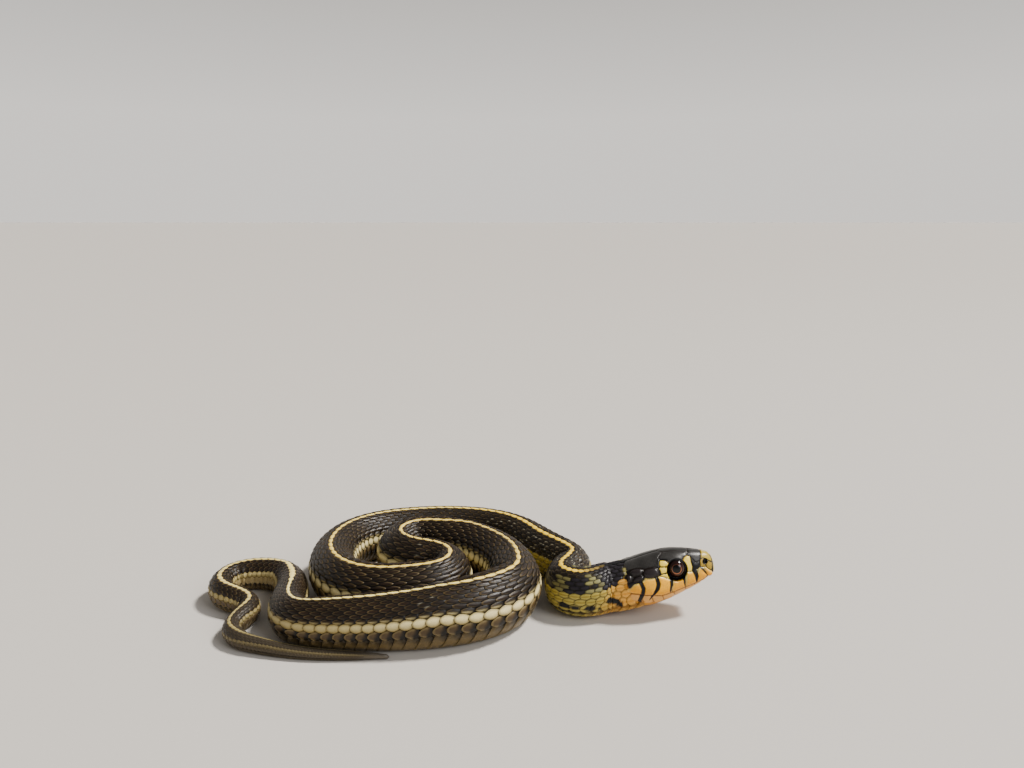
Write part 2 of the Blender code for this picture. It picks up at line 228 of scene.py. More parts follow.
# Head outlines: stations run with the root of the distance from the tip, which rounds the snout off.
# A low ledge over the eye stands out and the orbit below it falls in, both as bell curves.
def headOutline(behind, turns):
    columns = np.array(headForm["stations"]).T
    root = np.sqrt(columns[0] - columns[0][0])
    here = np.sqrt(np.maximum(behind - columns[0][0], 0))
    half, top, depth = (hermite(root, column, here) for column in columns[1:])
    widest = np.maximum(headForm["widest"], -0.75 * depth)
    out, up = ringOutline(
        half, half, widest, top, -depth, headForm["crownPower"], headForm["chinPower"], turns
    )
    brow = np.exp(-(((behind - headForm["eyeBehind"]) / headForm["browLength"]) ** 2))[:, None]
    ledge = np.exp(-(((up - top[:, None] * 0.80) / 0.9) ** 2)) * brow
    orbit = np.exp(-(((up - headForm["eyeUp"]) / 1.1) ** 2)) * brow
    share = np.minimum(np.abs(out) / np.maximum(half[:, None], 0.01), 1.0)
    return out + np.sign(out) * share * headForm["browRise"] * (ledge - 0.6 * orbit), up


# Body outlines: an oval on a flat belly, squeezed on the inner side of a bend and against a neighbour.
def bodyOutline(here, turns):
    height, bend = here["girth"], here["bend"]
    half = spine["widthShare"] * height
    radius = 1 / np.maximum(np.abs(bend), 1e-6)
    inner = 1 / (half**-4 + (spine["innerSqueeze"] * radius) ** -4) ** 0.25
    outer = half * (1 - spine["outerSqueeze"] * np.minimum(half / radius, 1.0))
    left = np.minimum(np.where(bend > 0, inner, outer), here["left"])
    right = np.minimum(np.where(bend > 0, outer, inner), here["right"])
    out, up = ringOutline(
        left, right, spine["widestShare"] * height, height, -spine["flatShare"] * height,
        1.0, spine["bellyPower"], turns,
    )
    return out, np.maximum(up, 0.0)


# Rings in space for distances s: the head's own below 0, then outlines standing across the route, which
# turn from the head's last outline into the body's over the neck.
def surfaceRings(s, turns):
    rings = np.zeros((len(s), len(turns), 3))
    onHead = s < 0
    behind = spine["headLength"] + s[onHead]
    out, up = headOutline(behind, turns)
    back = np.broadcast_to(-behind[:, None], out.shape)
    rings[onHead] = fromHead(np.stack([back, -out, up], 2))
    where = s[~onHead]
    here = {name: np.interp(where, axis["s"], axis[name]) for name in axis}
    slope = -2 * spine["lift"] / spine["liftLength"] * np.maximum(1 - where / spine["liftLength"], 0)
    ahead = np.stack([np.cos(here["angle"]), np.sin(here["angle"]), slope], 1)
    ahead /= np.linalg.norm(ahead, axis=1)[:, None]
    left = np.stack([-ahead[:, 1], ahead[:, 0], np.zeros(len(where))], 1)
    left /= np.linalg.norm(left, axis=1)[:, None]
    upward = np.cross(ahead, left)
    out, up = bodyOutline(here, turns)
    blend = smooth(0, 1, 1 - where / spine["neckBlend"])[:, None]
    headOut, headUp = headOutline(np.array([spine["headLength"]]), turns)
    depth = -headUp.min()
    roll = np.radians(spine["headRoll"]) * blend
    mixedOut = out * (1 - blend) + headOut * blend
    mixedUp = up * (1 - blend) + (headUp + depth) * blend - depth
    turned = mixedOut * np.sin(roll) + mixedUp * np.cos(roll) + depth
    out = np.where(blend > 0, mixedOut * np.cos(roll) - mixedUp * np.sin(roll), out)
    up = np.where(blend > 0, np.maximum(turned, -here["lift"][:, None]), up)
    floor = np.stack([here["x"], here["y"], here["lift"]], 1)
    rings[~onHead] = floor[:, None] + left[:, None] * out[..., None] + upward[:, None] * up[..., None]
    return rings


# the skin folds where a bend crowds its inner side: half width it is told for, least crowding, millimetres
folds = {"reach": 4.5, "from": 0.3, "pitch": 2.3, "depth": 0.13}


# Outward direction: the cross product of the steps along and around the surface.
def outward(points, s, q):
    along = np.gradient(points, s, axis=0)
    around = np.gradient(points, q, axis=1)
    around[:, 0] = around[:, -1] = points[:, 1] - points[:, -2]
    normal = np.cross(along, around)
    normal /= np.maximum(np.linalg.norm(normal, axis=2), 1e-9)[..., None]
    normal[0] = headTurn[:3, 0]
    return normal


# One table of the whole surface: rings resampled so that equal steps of q are equal lengths of skin
# on each side, with the outward direction at each point and half the girth of skin at each ring. The
# folds are a cosine along the spine, as deep as the inner side of the bend is crowded.
def surfaceTable():
    s = np.r_[
        -spine["headLength"] - 0.15 + np.linspace(0, 1, 25)[:-1] ** 2 * 1.5,
        np.arange(-spine["headLength"] + 1.35, bodyEnd, 0.2), bodyEnd,
    ]
    turns = np.linspace(0, 2 * np.pi, 361)
    rings = surfaceRings(s, turns)
    length = np.linalg.norm(np.diff(rings, axis=1), axis=2)
    length = np.concatenate([np.zeros((len(s), 1)), np.cumsum(length, 1)], 1)
    middle = len(turns) // 2
    q = np.linspace(-1, 1, 201)
    even = np.zeros((len(s), len(q), 3))
    for k in range(len(s)):
        first, whole = length[k, middle], length[k, -1]
        at = np.where(q >= 0, q * first, whole + q * (whole - first))
        for c in range(3):
            even[k, :, c] = np.interp(at, length[k], rings[k, :, c])
    bend = np.interp(s, axis["s"], axis["bend"]) * (s > 0)
    crowd = np.clip(np.sign(q) * bend[:, None] * folds["reach"] - folds["from"], 0, 0.6) / 0.6
    wave = np.cos(2 * np.pi * s / folds["pitch"])[:, None] * smooth(0.08, 0.35, np.abs(q)) * (1 - smooth(0.8, 1, np.abs(q)))
    even = even + outward(even, s, q) * (folds["depth"] * crowd * wave)[..., None]
    return {"s": s, "q": q, "point": even, "normal": outward(even, s, q), "half": length[:, -1] / 2}


print("surface table")
skinTable = surfaceTable()


# Point and outward direction at (s, q), read from the table between its four nearest entries.
def surfaceAt(s, q):
    s, q = np.broadcast_arrays(s, q)
    q = q + table(spine["lean"], s) * np.maximum(1 - q * q, 0) ** 1.5 * (np.abs(q) < 1)
    q = (q + 1) % 2 - 1
    grid = skinTable["s"]
    i = np.clip(np.searchsorted(grid, s, side="right") - 1, 0, len(grid) - 2)
    a = np.clip((s - grid[i]) / (grid[i + 1] - grid[i]), 0, 1)[..., None]
    b = (q + 1) / 2 * (len(skinTable["q"]) - 1)
    j = np.clip(b.astype(int), 0, len(skinTable["q"]) - 2)
    b = (b - j)[..., None]
    both = []
    for name in ("point", "normal"):
        t = skinTable[name]
        both.append((t[i, j] * (1 - b) + t[i, j + 1] * b) * (1 - a) + (t[i + 1, j] * (1 - b) + t[i + 1, j + 1] * b) * a)
    both[1] /= np.maximum(np.linalg.norm(both[1], axis=-1), 1e-9)[..., None]
    return both


def halfGirth(s):
    return np.interp(s, skinTable["s"], skinTable["half"])


# sRGB 0-255 to the shader's linear values, spread away from grey and deepened by a power, because the
# picture's tone curve greys and lifts them.
def paint(*rgb):
    c = np.array(rgb, float) / 255
    c = np.where(c < 0.04045, c / 12.92, ((c + 0.055) / 1.055) ** 2.4)
    return np.clip(c.mean() + (c - c.mean()) * 1.35, 0.0004, 1) ** 1.1


def mix(a, b, share):
    return a + (b - a) * np.asarray(share)[..., None]


# Repeatable noise for whole numbers: the fraction of a large sine.
def chance(a, b, seed):
    value = np.sin(a * 127.1 + b * 311.7 + seed * 74.7) * 43758.5453
    return value - np.floor(value)


def addObject(name, points, corners, sizes, colours=None, cornerUv=None, extra=None):
    mesh = bpy.data.meshes.new(name)
    mesh.vertices.add(len(points))
    mesh.vertices.foreach_set("co", (points * mm).astype(np.float32).ravel())
    mesh.loops.add(len(corners))
    mesh.loops.foreach_set("vertex_index", corners.astype(np.int32))
    mesh.polygons.add(len(sizes))
    starts = np.r_[0, np.cumsum(sizes)[:-1]]
    mesh.polygons.foreach_set("loop_start", starts.astype(np.int32))
    mesh.polygons.foreach_set("loop_total", sizes.astype(np.int32))
    mesh.polygons.foreach_set("use_smooth", np.ones(len(sizes), bool))
    mesh.update(calc_edges=True)
    if cornerUv is not None:
        layer = mesh.uv_layers.new(name="OFBake")
        layer.data.foreach_set("uv", cornerUv.astype(np.float32).ravel())
        layer.active_render = True
    if colours is not None:
        # the colour attribute: the body's pattern together with its painted shade and painted highlights
        layer = mesh.attributes.new("markingsAndPaintedLight", "FLOAT_COLOR", "POINT")
        full = np.c_[colours, np.ones(len(colours))]
        layer.data.foreach_set("color", full.astype(np.float32).ravel())
    for key, values in (extra or {}).items():
        layer = mesh.attributes.new(key, "FLOAT", "POINT")
        layer.data.foreach_set("value", values.astype(np.float32))
    mesh.validate()
    item = bpy.data.objects.new(name, mesh)
    bpy.context.scene.collection.objects.link(item)
    return item


def gridQuads(rows, columns):
    i, j = np.meshgrid(np.arange(rows - 1), np.arange(columns - 1), indexing="ij")
    a = (i * columns + j).ravel()
    return np.stack([a, a + columns, a + columns + 1, a + 1], 1)


coat = {
    "depth": 0.22,  # the skin lies this far under the outline
    "pitch": 2.35,  # spacing of the scales along the body where it is full grown
    "pitchGirth": 11.7,
    "pitchPower": 0.80,
    # widths of the rows from the back down, as shares of half the girth of skin: the stripe's half row,
    # rows 9 to 4, row 3, row 2, row 1, and the belly plates take the rest
    "neckRows": [0.030] + [0.055] * 6 + [0.078, 0.090, 0.117],
    "trunkRows": [0.023] + [0.0495] * 6 + [0.057, 0.102, 0.106],
    # the skin of the neck is stretched on the outside of its bend, so its scales are set closer
    "neckPitch": [(-12, 0.90), (0, 0.80), (4, 0.60), (8, 0.53), (12, 0.58), (18, 0.82), (26, 1.0)],
    "trunkFrom": 100.0,
    # the tail has fewer rows: the stripe, three dark, one pale and one tan
    "tailRows": [0.052, 0.100, 0.100, 0.100, 0.115, 0.133],
    "tailNames": [10, 9, 7, 5, 2, 1],
    "tailFrom": 240.0,
}


def pitchAt(s):
    girth = table(spine["girth"], np.maximum(s, 0))
    return coat["pitch"] * (girth / coat["pitchGirth"]) ** coat["pitchPower"] * table(coat["neckPitch"], s)


countPlaces = np.arange(-12.0, bodyEnd + 4, 0.25)
countTotals = np.r_[0.0, np.cumsum(0.25 / pitchAt((countPlaces[:-1] + countPlaces[1:]) / 2))]


# Number of scales passed at s, and the place where a number is reached: the sum of steps over pitch.
def countAt(s):
    return np.interp(s, countPlaces, countTotals)


def placeAt(count):
    return np.interp(count, countTotals, countPlaces)


# Edges of the rows at s, as q: running sums of the row widths, turned from the neck's to the trunk's.
def rowEdges(s):
    share = smooth(20, coat["trunkFrom"], np.asarray(s, float))[..., None]
    return np.cumsum(np.array(coat["neckRows"]) * (1 - share) + np.array(coat["trunkRows"]) * share, -1)


def tailEdges(s):
    return np.broadcast_to(np.cumsum(coat["tailRows"]), np.shape(s) + (len(coat["tailRows"]),))


# Name of the row that holds q: 10 on the back, 1 above the belly, 0 on the belly plates.
def rowAt(s, q):
    trunk = 10 - (np.abs(q)[..., None] > rowEdges(s)).sum(-1)
    tail = np.array(coat["tailNames"] + [0])[(np.abs(q)[..., None] > tailEdges(s)).sum(-1)]
    return np.where(s > coat["tailFrom"], tail, trunk)


colour = {
    "stripe": paint(255, 234, 176),
    "stripeRim": paint(180, 138, 80),
    "stripeDeep": paint(228, 202, 126),
    "stripeNeck": paint(252, 214, 124),
    "edge": paint(6, 5, 5),
    "keel": paint(40, 30, 22),
    "tipRimHighlight": paint(118, 104, 80),
    "fleck": paint(226, 222, 204),
    "cream": paint(228, 217, 178),
    "creamLow": paint(122, 108, 72),
    "tan": paint(78, 66, 50),
    "belly": paint(106, 94, 72),
    "bellyEdge": paint(164, 150, 116),
    "black": paint(5, 5, 6),
    "sheen": paint(40, 37, 43),
    "nape": paint(166, 158, 112),
    # pale tan of the tail's loop, partly its own tone and partly painted light
    "tailPaleAndLit": paint(172, 158, 126),
    "yellow": paint(138, 124, 72),
    "yellowRimAndHighlight": paint(206, 194, 132),
    "yellowEdge": paint(44, 36, 20),
    "orange": paint(196, 148, 90),
    "orangeRimAndHighlight": paint(230, 190, 128),
    "orangeEdge": paint(92, 58, 32),
    "olive": paint(136, 132, 98),
    "oliveLine": paint(102, 94, 74),
    "grey": paint(34, 33, 27),
    "tailGrey": paint(68, 63, 55),
    "tip": paint(100, 95, 88),
}

# Black blotches and spots of the neck, the same on both sides: middle s and q, half length, half width.
blotches = [
    (0.0, 0.12, 3.3, 0.17), (0.7, 0.27, 2.1, 0.15), (6.3, 0.26, 1.25, 0.150), (9.6, 0.30, 0.9, 0.09),
]
spots = [
    (7.47, 0.566, 0.58, 0.052), (6.42, 0.574, 0.40, 0.042), (4.98, 0.580, 0.70, 0.050), (4.0, 0.604, 0.34, 0.020),
    (10.4, 0.60, 0.6, 0.030), (14.2, 0.61, 0.6, 0.028), (18.5, 0.60, 0.7, 0.03), (23.0, 0.60, 0.7, 0.028),
]
barPoints = [(2.1, 0.520), (1.2, 0.535), (-0.1, 0.575), (-0.6, 0.610)]
barWidth = 0.68


# How far a point lies inside the nearest of some ovals: 1 in the middle, 0 on the edge, below 0 outside.
def inOvals(s, q, ovals):
    best = np.full(np.shape(s), -9.0)
    for middle, height, length, width in ovals:
        best = np.maximum(best, 1 - np.hypot((s - middle) / length, (np.abs(q) - height) / width))
    return best


# Distance from points to a broken line.
def lineDistance(u, a, line):
    best = np.full(np.shape(u), 99.0)
    for (u0, a0), (u1, a1) in zip(line, line[1:]):
        du, da = u1 - u0, a1 - a0
        t = np.clip(((u - u0) * du + (a - a0) * da) / (du * du + da * da), 0, 1)
        best = np.minimum(best, np.hypot(u - u0 - t * du, a - a0 - t * da))
    return best


# Markings of the body at (s, q): the stripe on the back, dark keeled rows, a cream line on row 2 and tan below,
# yellow on the neck with black blotches, and over them painted shade and painted highlights where noted below.
# x and y run from -1 to 1 on a scale, whose middle is at (rootS, rootQ), and one is a number of its own.
# Bare skin is taken as the root of a scale.
def markingsAndPaintedLight(s, q, row, x, y, one, rootS, rootQ):
    neck = 1 - smooth(26, 80, rootS)
    tail = smooth(232, 262, rootS)
    under = y * np.sign(rootQ)
    rim = np.maximum(np.abs(y), smooth(0.55, 1.0, x))
    dark = mix(colour["keel"], colour["edge"], smooth(0.14, 0.70, np.maximum(rim, -x)))
    # painted highlight: a thin pale band along the rim of each dark scale's tip half, where the edges catch the light
    dark = mix(dark, colour["tipRimHighlight"], smooth(0.62, 0.80, rim) * (1 - smooth(0.86, 0.98, rim)) * smooth(0.0, 0.5, x) * 0.5)
    dark = mix(dark, colour["grey"], neck * 0.35 * (1 - smooth(0.5, 0.9, rim)))
    dark = dark * (0.62 + 0.76 * one)[..., None]
    often = 0.60 * smooth(8, 13, rootS) * (1 - smooth(24, 60, rootS)) + 0.05 * smooth(24, 60, rootS) * (1 - tail)
    speck = (one < often) * smooth(0.50, 0.75, under * np.where(one * 40 % 1 > 0.5, 1, -1))
    speck = speck * smooth(-0.45, -0.25, x) * (1 - smooth(-0.1, 0.15, x)) * (row < 9) * (1 - 0.5 * tail)
    dark = mix(dark, colour["fleck"], speck * (0.8 - 0.55 * smooth(24, 60, rootS)))
    between = np.maximum(smooth(2.6, 3.6, rootS) * (1 - smooth(5.0, 5.6, rootS)),
                         smooth(7.2, 7.8, rootS) * (1 - smooth(8.4, 9.2, rootS)) * 0.8)
    between = between * smooth(0.08, 0.14, np.abs(rootQ)) * (one > 0.12)
    dark = mix(dark, mix(colour["olive"], colour["edge"], smooth(0.45, 0.9, rim)), between)
    blotch = mix(colour["sheen"], colour["black"], smooth(0.25, 0.75, np.maximum(rim, -x)))
    dark = mix(dark, blotch, smooth(-0.06, 0.06, inOvals(rootS, rootQ, blotches)) * 0.92)
    crescent = (1 - smooth(0.25, 0.5, np.abs(s + 2.75 + 1.2 * np.abs(q)))) * smooth(0.13, 0.17, np.abs(q)) * (1 - smooth(0.39, 0.42, np.abs(q)))
    dark = mix(dark, colour["nape"], crescent * (0.35 + 0.55 * one))
    stripe = mix(colour["stripe"], colour["stripeNeck"], neck)
    stripe = mix(stripe, colour["stripeDeep"], smooth(60, 85, rootS) * (1 - smooth(185, 205, rootS)) * 0.6)
    stripe = mix(stripe, colour["oliveLine"], (1 - smooth(3.5, 7.5, rootS)) * 0.85 + 0.25 * tail)
    stripe = mix(stripe, colour["black"], 1 - smooth(0.6, 1.8, rootS))
    stripe = mix(stripe, colour["stripeRim"], smooth(0.55, 1.0, rim) * 0.65 * smooth(0.6, 1.8, rootS))
    stripe = mix(stripe, colour["edge"], smooth(0.86, 1.0, np.abs(y)) * 0.6)
    warm = 1 - smooth(-1.5, 5.0, rootS + 6 * (0.5 - np.abs(rootQ)))
    pale = mix(colour["yellow"], colour["orange"], warm)
    # pale rims of the neck scales: partly their own paler edge and partly a painted highlight
    pale = mix(pale, mix(colour["yellowRimAndHighlight"], colour["orangeRimAndHighlight"], warm), smooth(0.20, 0.62, rim) * 0.8)
    gap = mix(colour["yellowEdge"], colour["orangeEdge"], warm)
    pale = mix(pale, gap, smooth(0.64, 0.88, rim) * (1 - 0.25 * warm))
    pale = pale * (1 - 0.28 * smooth(0.55, 0.85, np.abs(q)))[..., None]
    cream = mix(colour["cream"], colour["creamLow"], smooth(0.45, 1.0, rim) * 0.75)
    cream = mix(cream, colour["edge"], (1 - smooth(-0.75, -0.45, x)) * 0.8 * (1 - tail))
    # painted shade: the lower half of each cream scale is dimmed towards creamLow, as if the scale shaded itself
    cream = mix(cream, colour["creamLow"], smooth(-0.2, 0.9, under) * 0.62)
    cream = mix(cream, colour["edge"], smooth(0.84, 1.0, rim) * 0.55 * (1 - tail))
    tan = mix(colour["tan"], colour["bellyEdge"], smooth(0.55, 0.9, rim) * 0.40)
    front = smooth(-0.22, 0.02, x - 0.30 * under)
    tan = mix(tan, colour["edge"], (1 - front) * 0.95 * (1 - tail))
    belly = mix(colour["belly"], colour["bellyEdge"], smooth(0.70, 0.92, x) * 0.8)
    belly = mix(belly, colour["edge"], (1 - smooth(-0.5, -0.1, x)) * smooth(0.70, 0.9, np.abs(y)) * 0.9)
    cream = mix(cream, colour["creamLow"], np.maximum(tail * 0.7, smooth(200, 222, rootS) * 0.6))
    # painted shade: on the inner side of a bend the cream row is dimmed towards creamLow and tan, where the coil shades
    # its own flank
    inner = np.sign(rootQ) * np.interp(rootS, axis["s"], axis["bend"])
    deep = smooth(140, 180, rootS)
    innerBendShade = smooth(0.06, 0.14, inner) * (1 - smooth(225, 245, rootS)) * (0.5 + 0.45 * deep)
    cream = mix(cream, mix(colour["creamLow"], colour["tan"], deep * 0.7), innerBendShade)
    # inner side of the tail's loop: tan and belly turned to a pale tan, partly their own paler tone and partly painted
    # light, brightened where this side lies in shade
    loop = smooth(236, 246, rootS) * (1 - smooth(262, 270, rootS)) * smooth(0, 0.03, inner)
    tan = mix(tan, colour["tailPaleAndLit"], loop * 0.7)
    belly = mix(belly, colour["tailPaleAndLit"], loop * 0.6)
    third = smooth(-0.1, 0.5, under) * smooth(-0.30, 0.05, x) * (1 - 0.5 * smooth(0.8, 1.0, x))
    low = np.where((row == 3)[..., None], mix(dark, cream, third * 0.72), dark)
    low = np.where((row == 2)[..., None], cream, low)
    low = np.where((row == 1)[..., None], tan, low)
    low = np.where((row == 0)[..., None], belly, low)
    paleFrom = 0.365 - 0.08 * (1 - smooth(-1.6, -0.6, rootS))
    low = mix(low, pale, neck * smooth(-0.01, 0.01, np.abs(rootQ) - paleFrom))
    ink = smooth(-0.05, 0.06, inOvals(s, q, spots)) * (np.asarray(rootS) < 60)
    barred = lineDistance(s, np.abs(q) * 15, [(a, b * 15) for a, b in barPoints])
    ink = np.maximum(ink, 1 - smooth(barWidth * 0.92, barWidth * 1.08, barred))
    low = mix(low, colour["black"], ink)
    low = np.where((row == 10)[..., None], stripe, low)
    low = mix(low, colour["tailGrey"], smooth(270, 294, s) * 0.72)
    return mix(low, colour["tip"], smooth(311, 316, s) * 0.7)


# One scale on a square of x and y from -1 to 1: its half width grows from the root to the middle and
# closes to the tip, its height rises towards the tip, with a dome across and a keel along the middle.
# The rim goes down into the skin and one face closes it below.
def scaleTemplate(xs, ys):
    along, across = len(xs), len(ys)
    x, y = np.meshgrid(xs, ys, indexing="ij")
    top = np.arange(along * across).reshape(along, across)
    rim = np.r_[top[:-1, 0], top[-1, :-1], top[:0:-1, -1], top[0, :0:-1]]
    lower = along * across + np.arange(len(rim))
    following = np.roll(np.arange(len(rim)), -1)
    skirt = np.stack([rim, lower, lower[following], rim[following]], 1)
    quads = gridQuads(along, across)
    corners = np.r_[lower[::-1], skirt.ravel(), quads.ravel()]
    sizes = np.r_[len(rim), np.full(len(skirt) + len(quads), 4)]
    return {
        "x": np.r_[x.ravel(), x.ravel()[rim]],
        "y": np.r_[y.ravel(), y.ravel()[rim]],
        "low": np.r_[np.zeros(x.size), np.ones(len(rim))],
        "corners": corners,
        "sizes": sizes,
        "under": len(rim),
    }


shapes = {
    # overlap in pitches, spread across in row widths, lift of the tip, dome, keel, bluntness, narrowing
    # and how far the sides of a plate run forward; on the neck another spread and dome
    "keeled": {
        "length": 1.34, "spread": 1.24, "lift": 0.14, "dome": 0.10, "keel": 0.12, "blunt": 1.55, "waist": 0.35, "sweep": 0.0,
        "neckSpread": 1.42, "neckDome": 0.17,
    },
    "flank": {
        "length": 1.18, "spread": 1.22, "lift": 0.16, "dome": 0.24, "keel": 0.02, "blunt": 1.5, "waist": 0.55, "sweep": 0.0,
        "neckSpread": 1.42, "neckDome": 0.30,
    },
    "belly": {
        "length": 1.24, "spread": 1.09, "lift": 0.08, "dome": 0.02, "keel": 0.0, "blunt": 5.0, "waist": 0.10, "sweep": 1.2,
        "neckSpread": 1.09, "neckDome": 0.06,
    },
}


# All scales of one kind at once: count is where each sits along the body, q its middle and half its
# half width. Each point is the surface at the scale's own place in the rows, raised by its height.
def placeScales(kind, template, count, q, half, row):
    form = shapes[kind]
    x, y = template["x"][None], template["y"][None]
    reach = form["length"] / 2
    taper = np.where(x > 0, 0.16 + 0.84 * (1 - np.abs(x) ** form["blunt"]) ** 0.75, 1 - form["waist"] * x * x)
    tuck = 1 - 0.10 * template["low"][None]
    s = placeAt(count[:, None] + x * reach * tuck) - form["sweep"] * y * y
    neck = (1 - smooth(18, 50, placeAt(count)))[:, None]
    spread = form["spread"] + (form["neckSpread"] - form["spread"]) * neck
    dome = form["dome"] + (form["neckDome"] - form["dome"]) * neck
    around = q[:, None] + y * taper * tuck * half[:, None] * spread
    rise = (x + 1) / 2
    height = form["lift"] * rise + dome * (1 - y * y) * (0.3 + 0.7 * rise) * taper
    height = height + form["keel"] * np.exp(-((y / 0.16) ** 2)) * smooth(-0.9, -0.3, x) * (1 - smooth(0.8, 1.0, x))
    size = (pitchAt(s) / coat["pitch"])
    height = (height - 0.10) * size - (template["low"] * 0.16)[None] * size - 0.06
    point, normal = surfaceAt(s, around)
    point = point + normal * height[..., None]
    point[..., 2] = np.maximum(point[..., 2], 0.02)
    one = chance(np.round(count * 2), np.round(q * 100), 1.0)
    shape = np.broadcast_shapes(s.shape, around.shape)
    here = placeAt(count)[:, None]
    around, root = (around + 1) % 2 - 1, (q[:, None] + 1) % 2 - 1
    values = (s, around, row[:, None], x, y, one[:, None], here, root)
    shade = markingsAndPaintedLight(*[np.broadcast_to(v, shape) for v in values])
    root = np.stack([(placeAt(count) + 21) / 345, (q + 1) / 2], 1) * 0.96 + 0.02
    patch = np.stack([np.broadcast_to(x, shape), np.broadcast_to(y, shape)], 2) * 0.0015
    patch = patch * (1 + 0.12 * template["low"][None, :, None])
    return point, shade, root[:, None] + patch, root


def joinScales(name, groups):
    points, shades, corners, sizes, uvs = [], [], [], [], []
    start = 0
    for template, (point, shade, uv, root) in groups:
        n, v = point.shape[:2]
        points.append(point.reshape(-1, 3))
        shades.append(shade.reshape(-1, 3))
        offset = (np.arange(n) * v)[:, None]
        corners.append((template["corners"][None] + offset + start).ravel())
        sizes.append(np.tile(template["sizes"], n))
        cornerUv = uv[:, template["corners"]]
        under = template["under"]
        ring = np.arange(under) / under * 2 * np.pi
        below = np.stack([np.cos(ring), -np.sin(ring)], 1) * 0.0004 + (0.0022, 0)
        cornerUv[:, :under] = root[:, None] + below[None]
        uvs.append(cornerUv.reshape(-1, 2))
        start += n * v
    item = addObject(
        name, np.concatenate(points), np.concatenate(corners), np.concatenate(sizes),
        np.concatenate(shades), np.concatenate(uvs),
    )
    return item


keeledTemplate = scaleTemplate([-1, -0.5, -0.1, 0.3, 0.62, 0.86, 1], [-1, -0.78, -0.42, 0, 0.42, 0.78, 1])
bellyTemplate = scaleTemplate([-1, -0.4, 0.4, 0.85, 1], np.linspace(-1, 1, 25))


# The rows between two distances: 19 rows of scales, each row half a step behind its neighbour, and
# one belly plate to each step. Where the rows start is further forward on the throat.
def scaleRows(start, end, edgesAt, names, first=None):
    steps = np.arange(math.ceil(countAt(start)), math.ceil(countAt(end)))
    groups = []
    for kind in ("keeled", "flank"):
        found = []
        for k, row in enumerate(names):
            if (kind == "flank") != (row < 4):
                continue
            for side in (1, -1)[: 1 if row == 10 else 2]:
                count = steps + 0.5 * (k % 2)
                edges = edgesAt(placeAt(count))
                low = edges[:, k - 1] if k > 0 else -edges[:, 0]
                middle, half = (low + edges[:, k]) / 2, (edges[:, k] - low) / 2 * (1.04 if row == 10 else 1.0)
                keep = placeAt(count) > (table(first, middle) if first else -99)
                found.append([v[keep] for v in (count, side * middle, half, np.full(len(count), row))])
        columns = [np.concatenate(v) for v in zip(*found)]
        groups.append((keeledTemplate, placeScales(kind, keeledTemplate, *columns)))
    count = steps + 0.14
    count = count[placeAt(count) > (first[-1][1] if first else -99)]
    half = 1 - edgesAt(placeAt(count))[:, -1]
    groups.append((bellyTemplate, placeScales("belly", bellyTemplate, count, 1.0 + 0 * half, half, 0 * half)))
    return groups


# A finish that reads the colours painted on the mesh, the pattern with its painted shade and highlights, with fine
# noise in its colour, shine and bump.
def skinMaterial(name, roughness, bump, grain, gloss=0.5, coatWeight=0.0):
    material = bpy.data.materials.new(name)
    material.use_nodes = True
    nodes, links = material.node_tree.nodes, material.node_tree.links
    shader = nodes["Principled BSDF"]
    read = nodes.new("ShaderNodeAttribute")
    read.attribute_name = "markingsAndPaintedLight"
    place = nodes.new("ShaderNodeTexCoord")
    noise = nodes.new("ShaderNodeTexNoise")
    noise.inputs["Scale"].default_value = grain
    noise.inputs["Detail"].default_value = 4.0
    links.new(place.outputs["Object"], noise.inputs["Vector"])
    vary = nodes.new("ShaderNodeMapRange")
    vary.inputs["To Min"].default_value = 0.72
    vary.inputs["To Max"].default_value = 1.22
    links.new(noise.outputs["Fac"], vary.inputs["Value"])
    tint = nodes.new("ShaderNodeVectorMath")
    tint.operation = "SCALE"
    links.new(read.outputs["Color"], tint.inputs[0])
    links.new(vary.outputs["Result"], tint.inputs["Scale"])
    links.new(tint.outputs["Vector"], shader.inputs["Base Color"])
    shine = nodes.new("ShaderNodeMapRange")
    shine.inputs["To Min"].default_value = roughness - 0.08
    shine.inputs["To Max"].default_value = roughness + 0.10
    links.new(noise.outputs["Fac"], shine.inputs["Value"])
    links.new(shine.outputs["Result"], shader.inputs["Roughness"])
    rough = nodes.new("ShaderNodeBump")
    rough.inputs["Strength"].default_value = bump
    rough.inputs["Distance"].default_value = 0.00004
    links.new(noise.outputs["Fac"], rough.inputs["Height"])
    links.new(rough.outputs["Normal"], shader.inputs["Normal"])
    shader.inputs["Specular IOR Level"].default_value = gloss
    shader.inputs["Coat Weight"].default_value = coatWeight
    shader.inputs["Coat Roughness"].default_value = 0.2
    return material


print("scales")
scaleFinish = skinMaterial("scaleFinish", 0.40, 0.3, 5200.0, 0.26)


def addCoat(name, groups):
    piece = joinScales(name, groups)
    piece.data.materials.append(scaleFinish)
    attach(piece, "root")
    print(name, sum(len(p.vertices) - 2 for p in piece.data.polygons), "triangles")


# how far forward the scales of the neck begin, by q
neckStart = [(0.0, -4.4), (0.04, -3.5), (0.15, -3.1), (0.25, -2.5), (0.32, -2.5), (0.40, -2.5), (0.50, -2.5), (0.60, -4.0), (0.66, -4.6), (1.0, -4.0)]
trunkNames = list(range(10, 0, -1))
for name, start, end in (
    ("scales_neck", -5.0, 60.0), ("scales_coil", 60.0, 150.0), ("scales_outer", 150.0, coat["tailFrom"]),
):
    groups = scaleRows(start, end, rowEdges, trunkNames, neckStart if start < 0 else None)
    addCoat(name, groups)
# the tail's scales begin a little before the trunk's end, so that no gap shows between them
addCoat("scales_tail", scaleRows(coat["tailFrom"] - 1.5, 313.0, tailEdges, coat["tailNames"]))


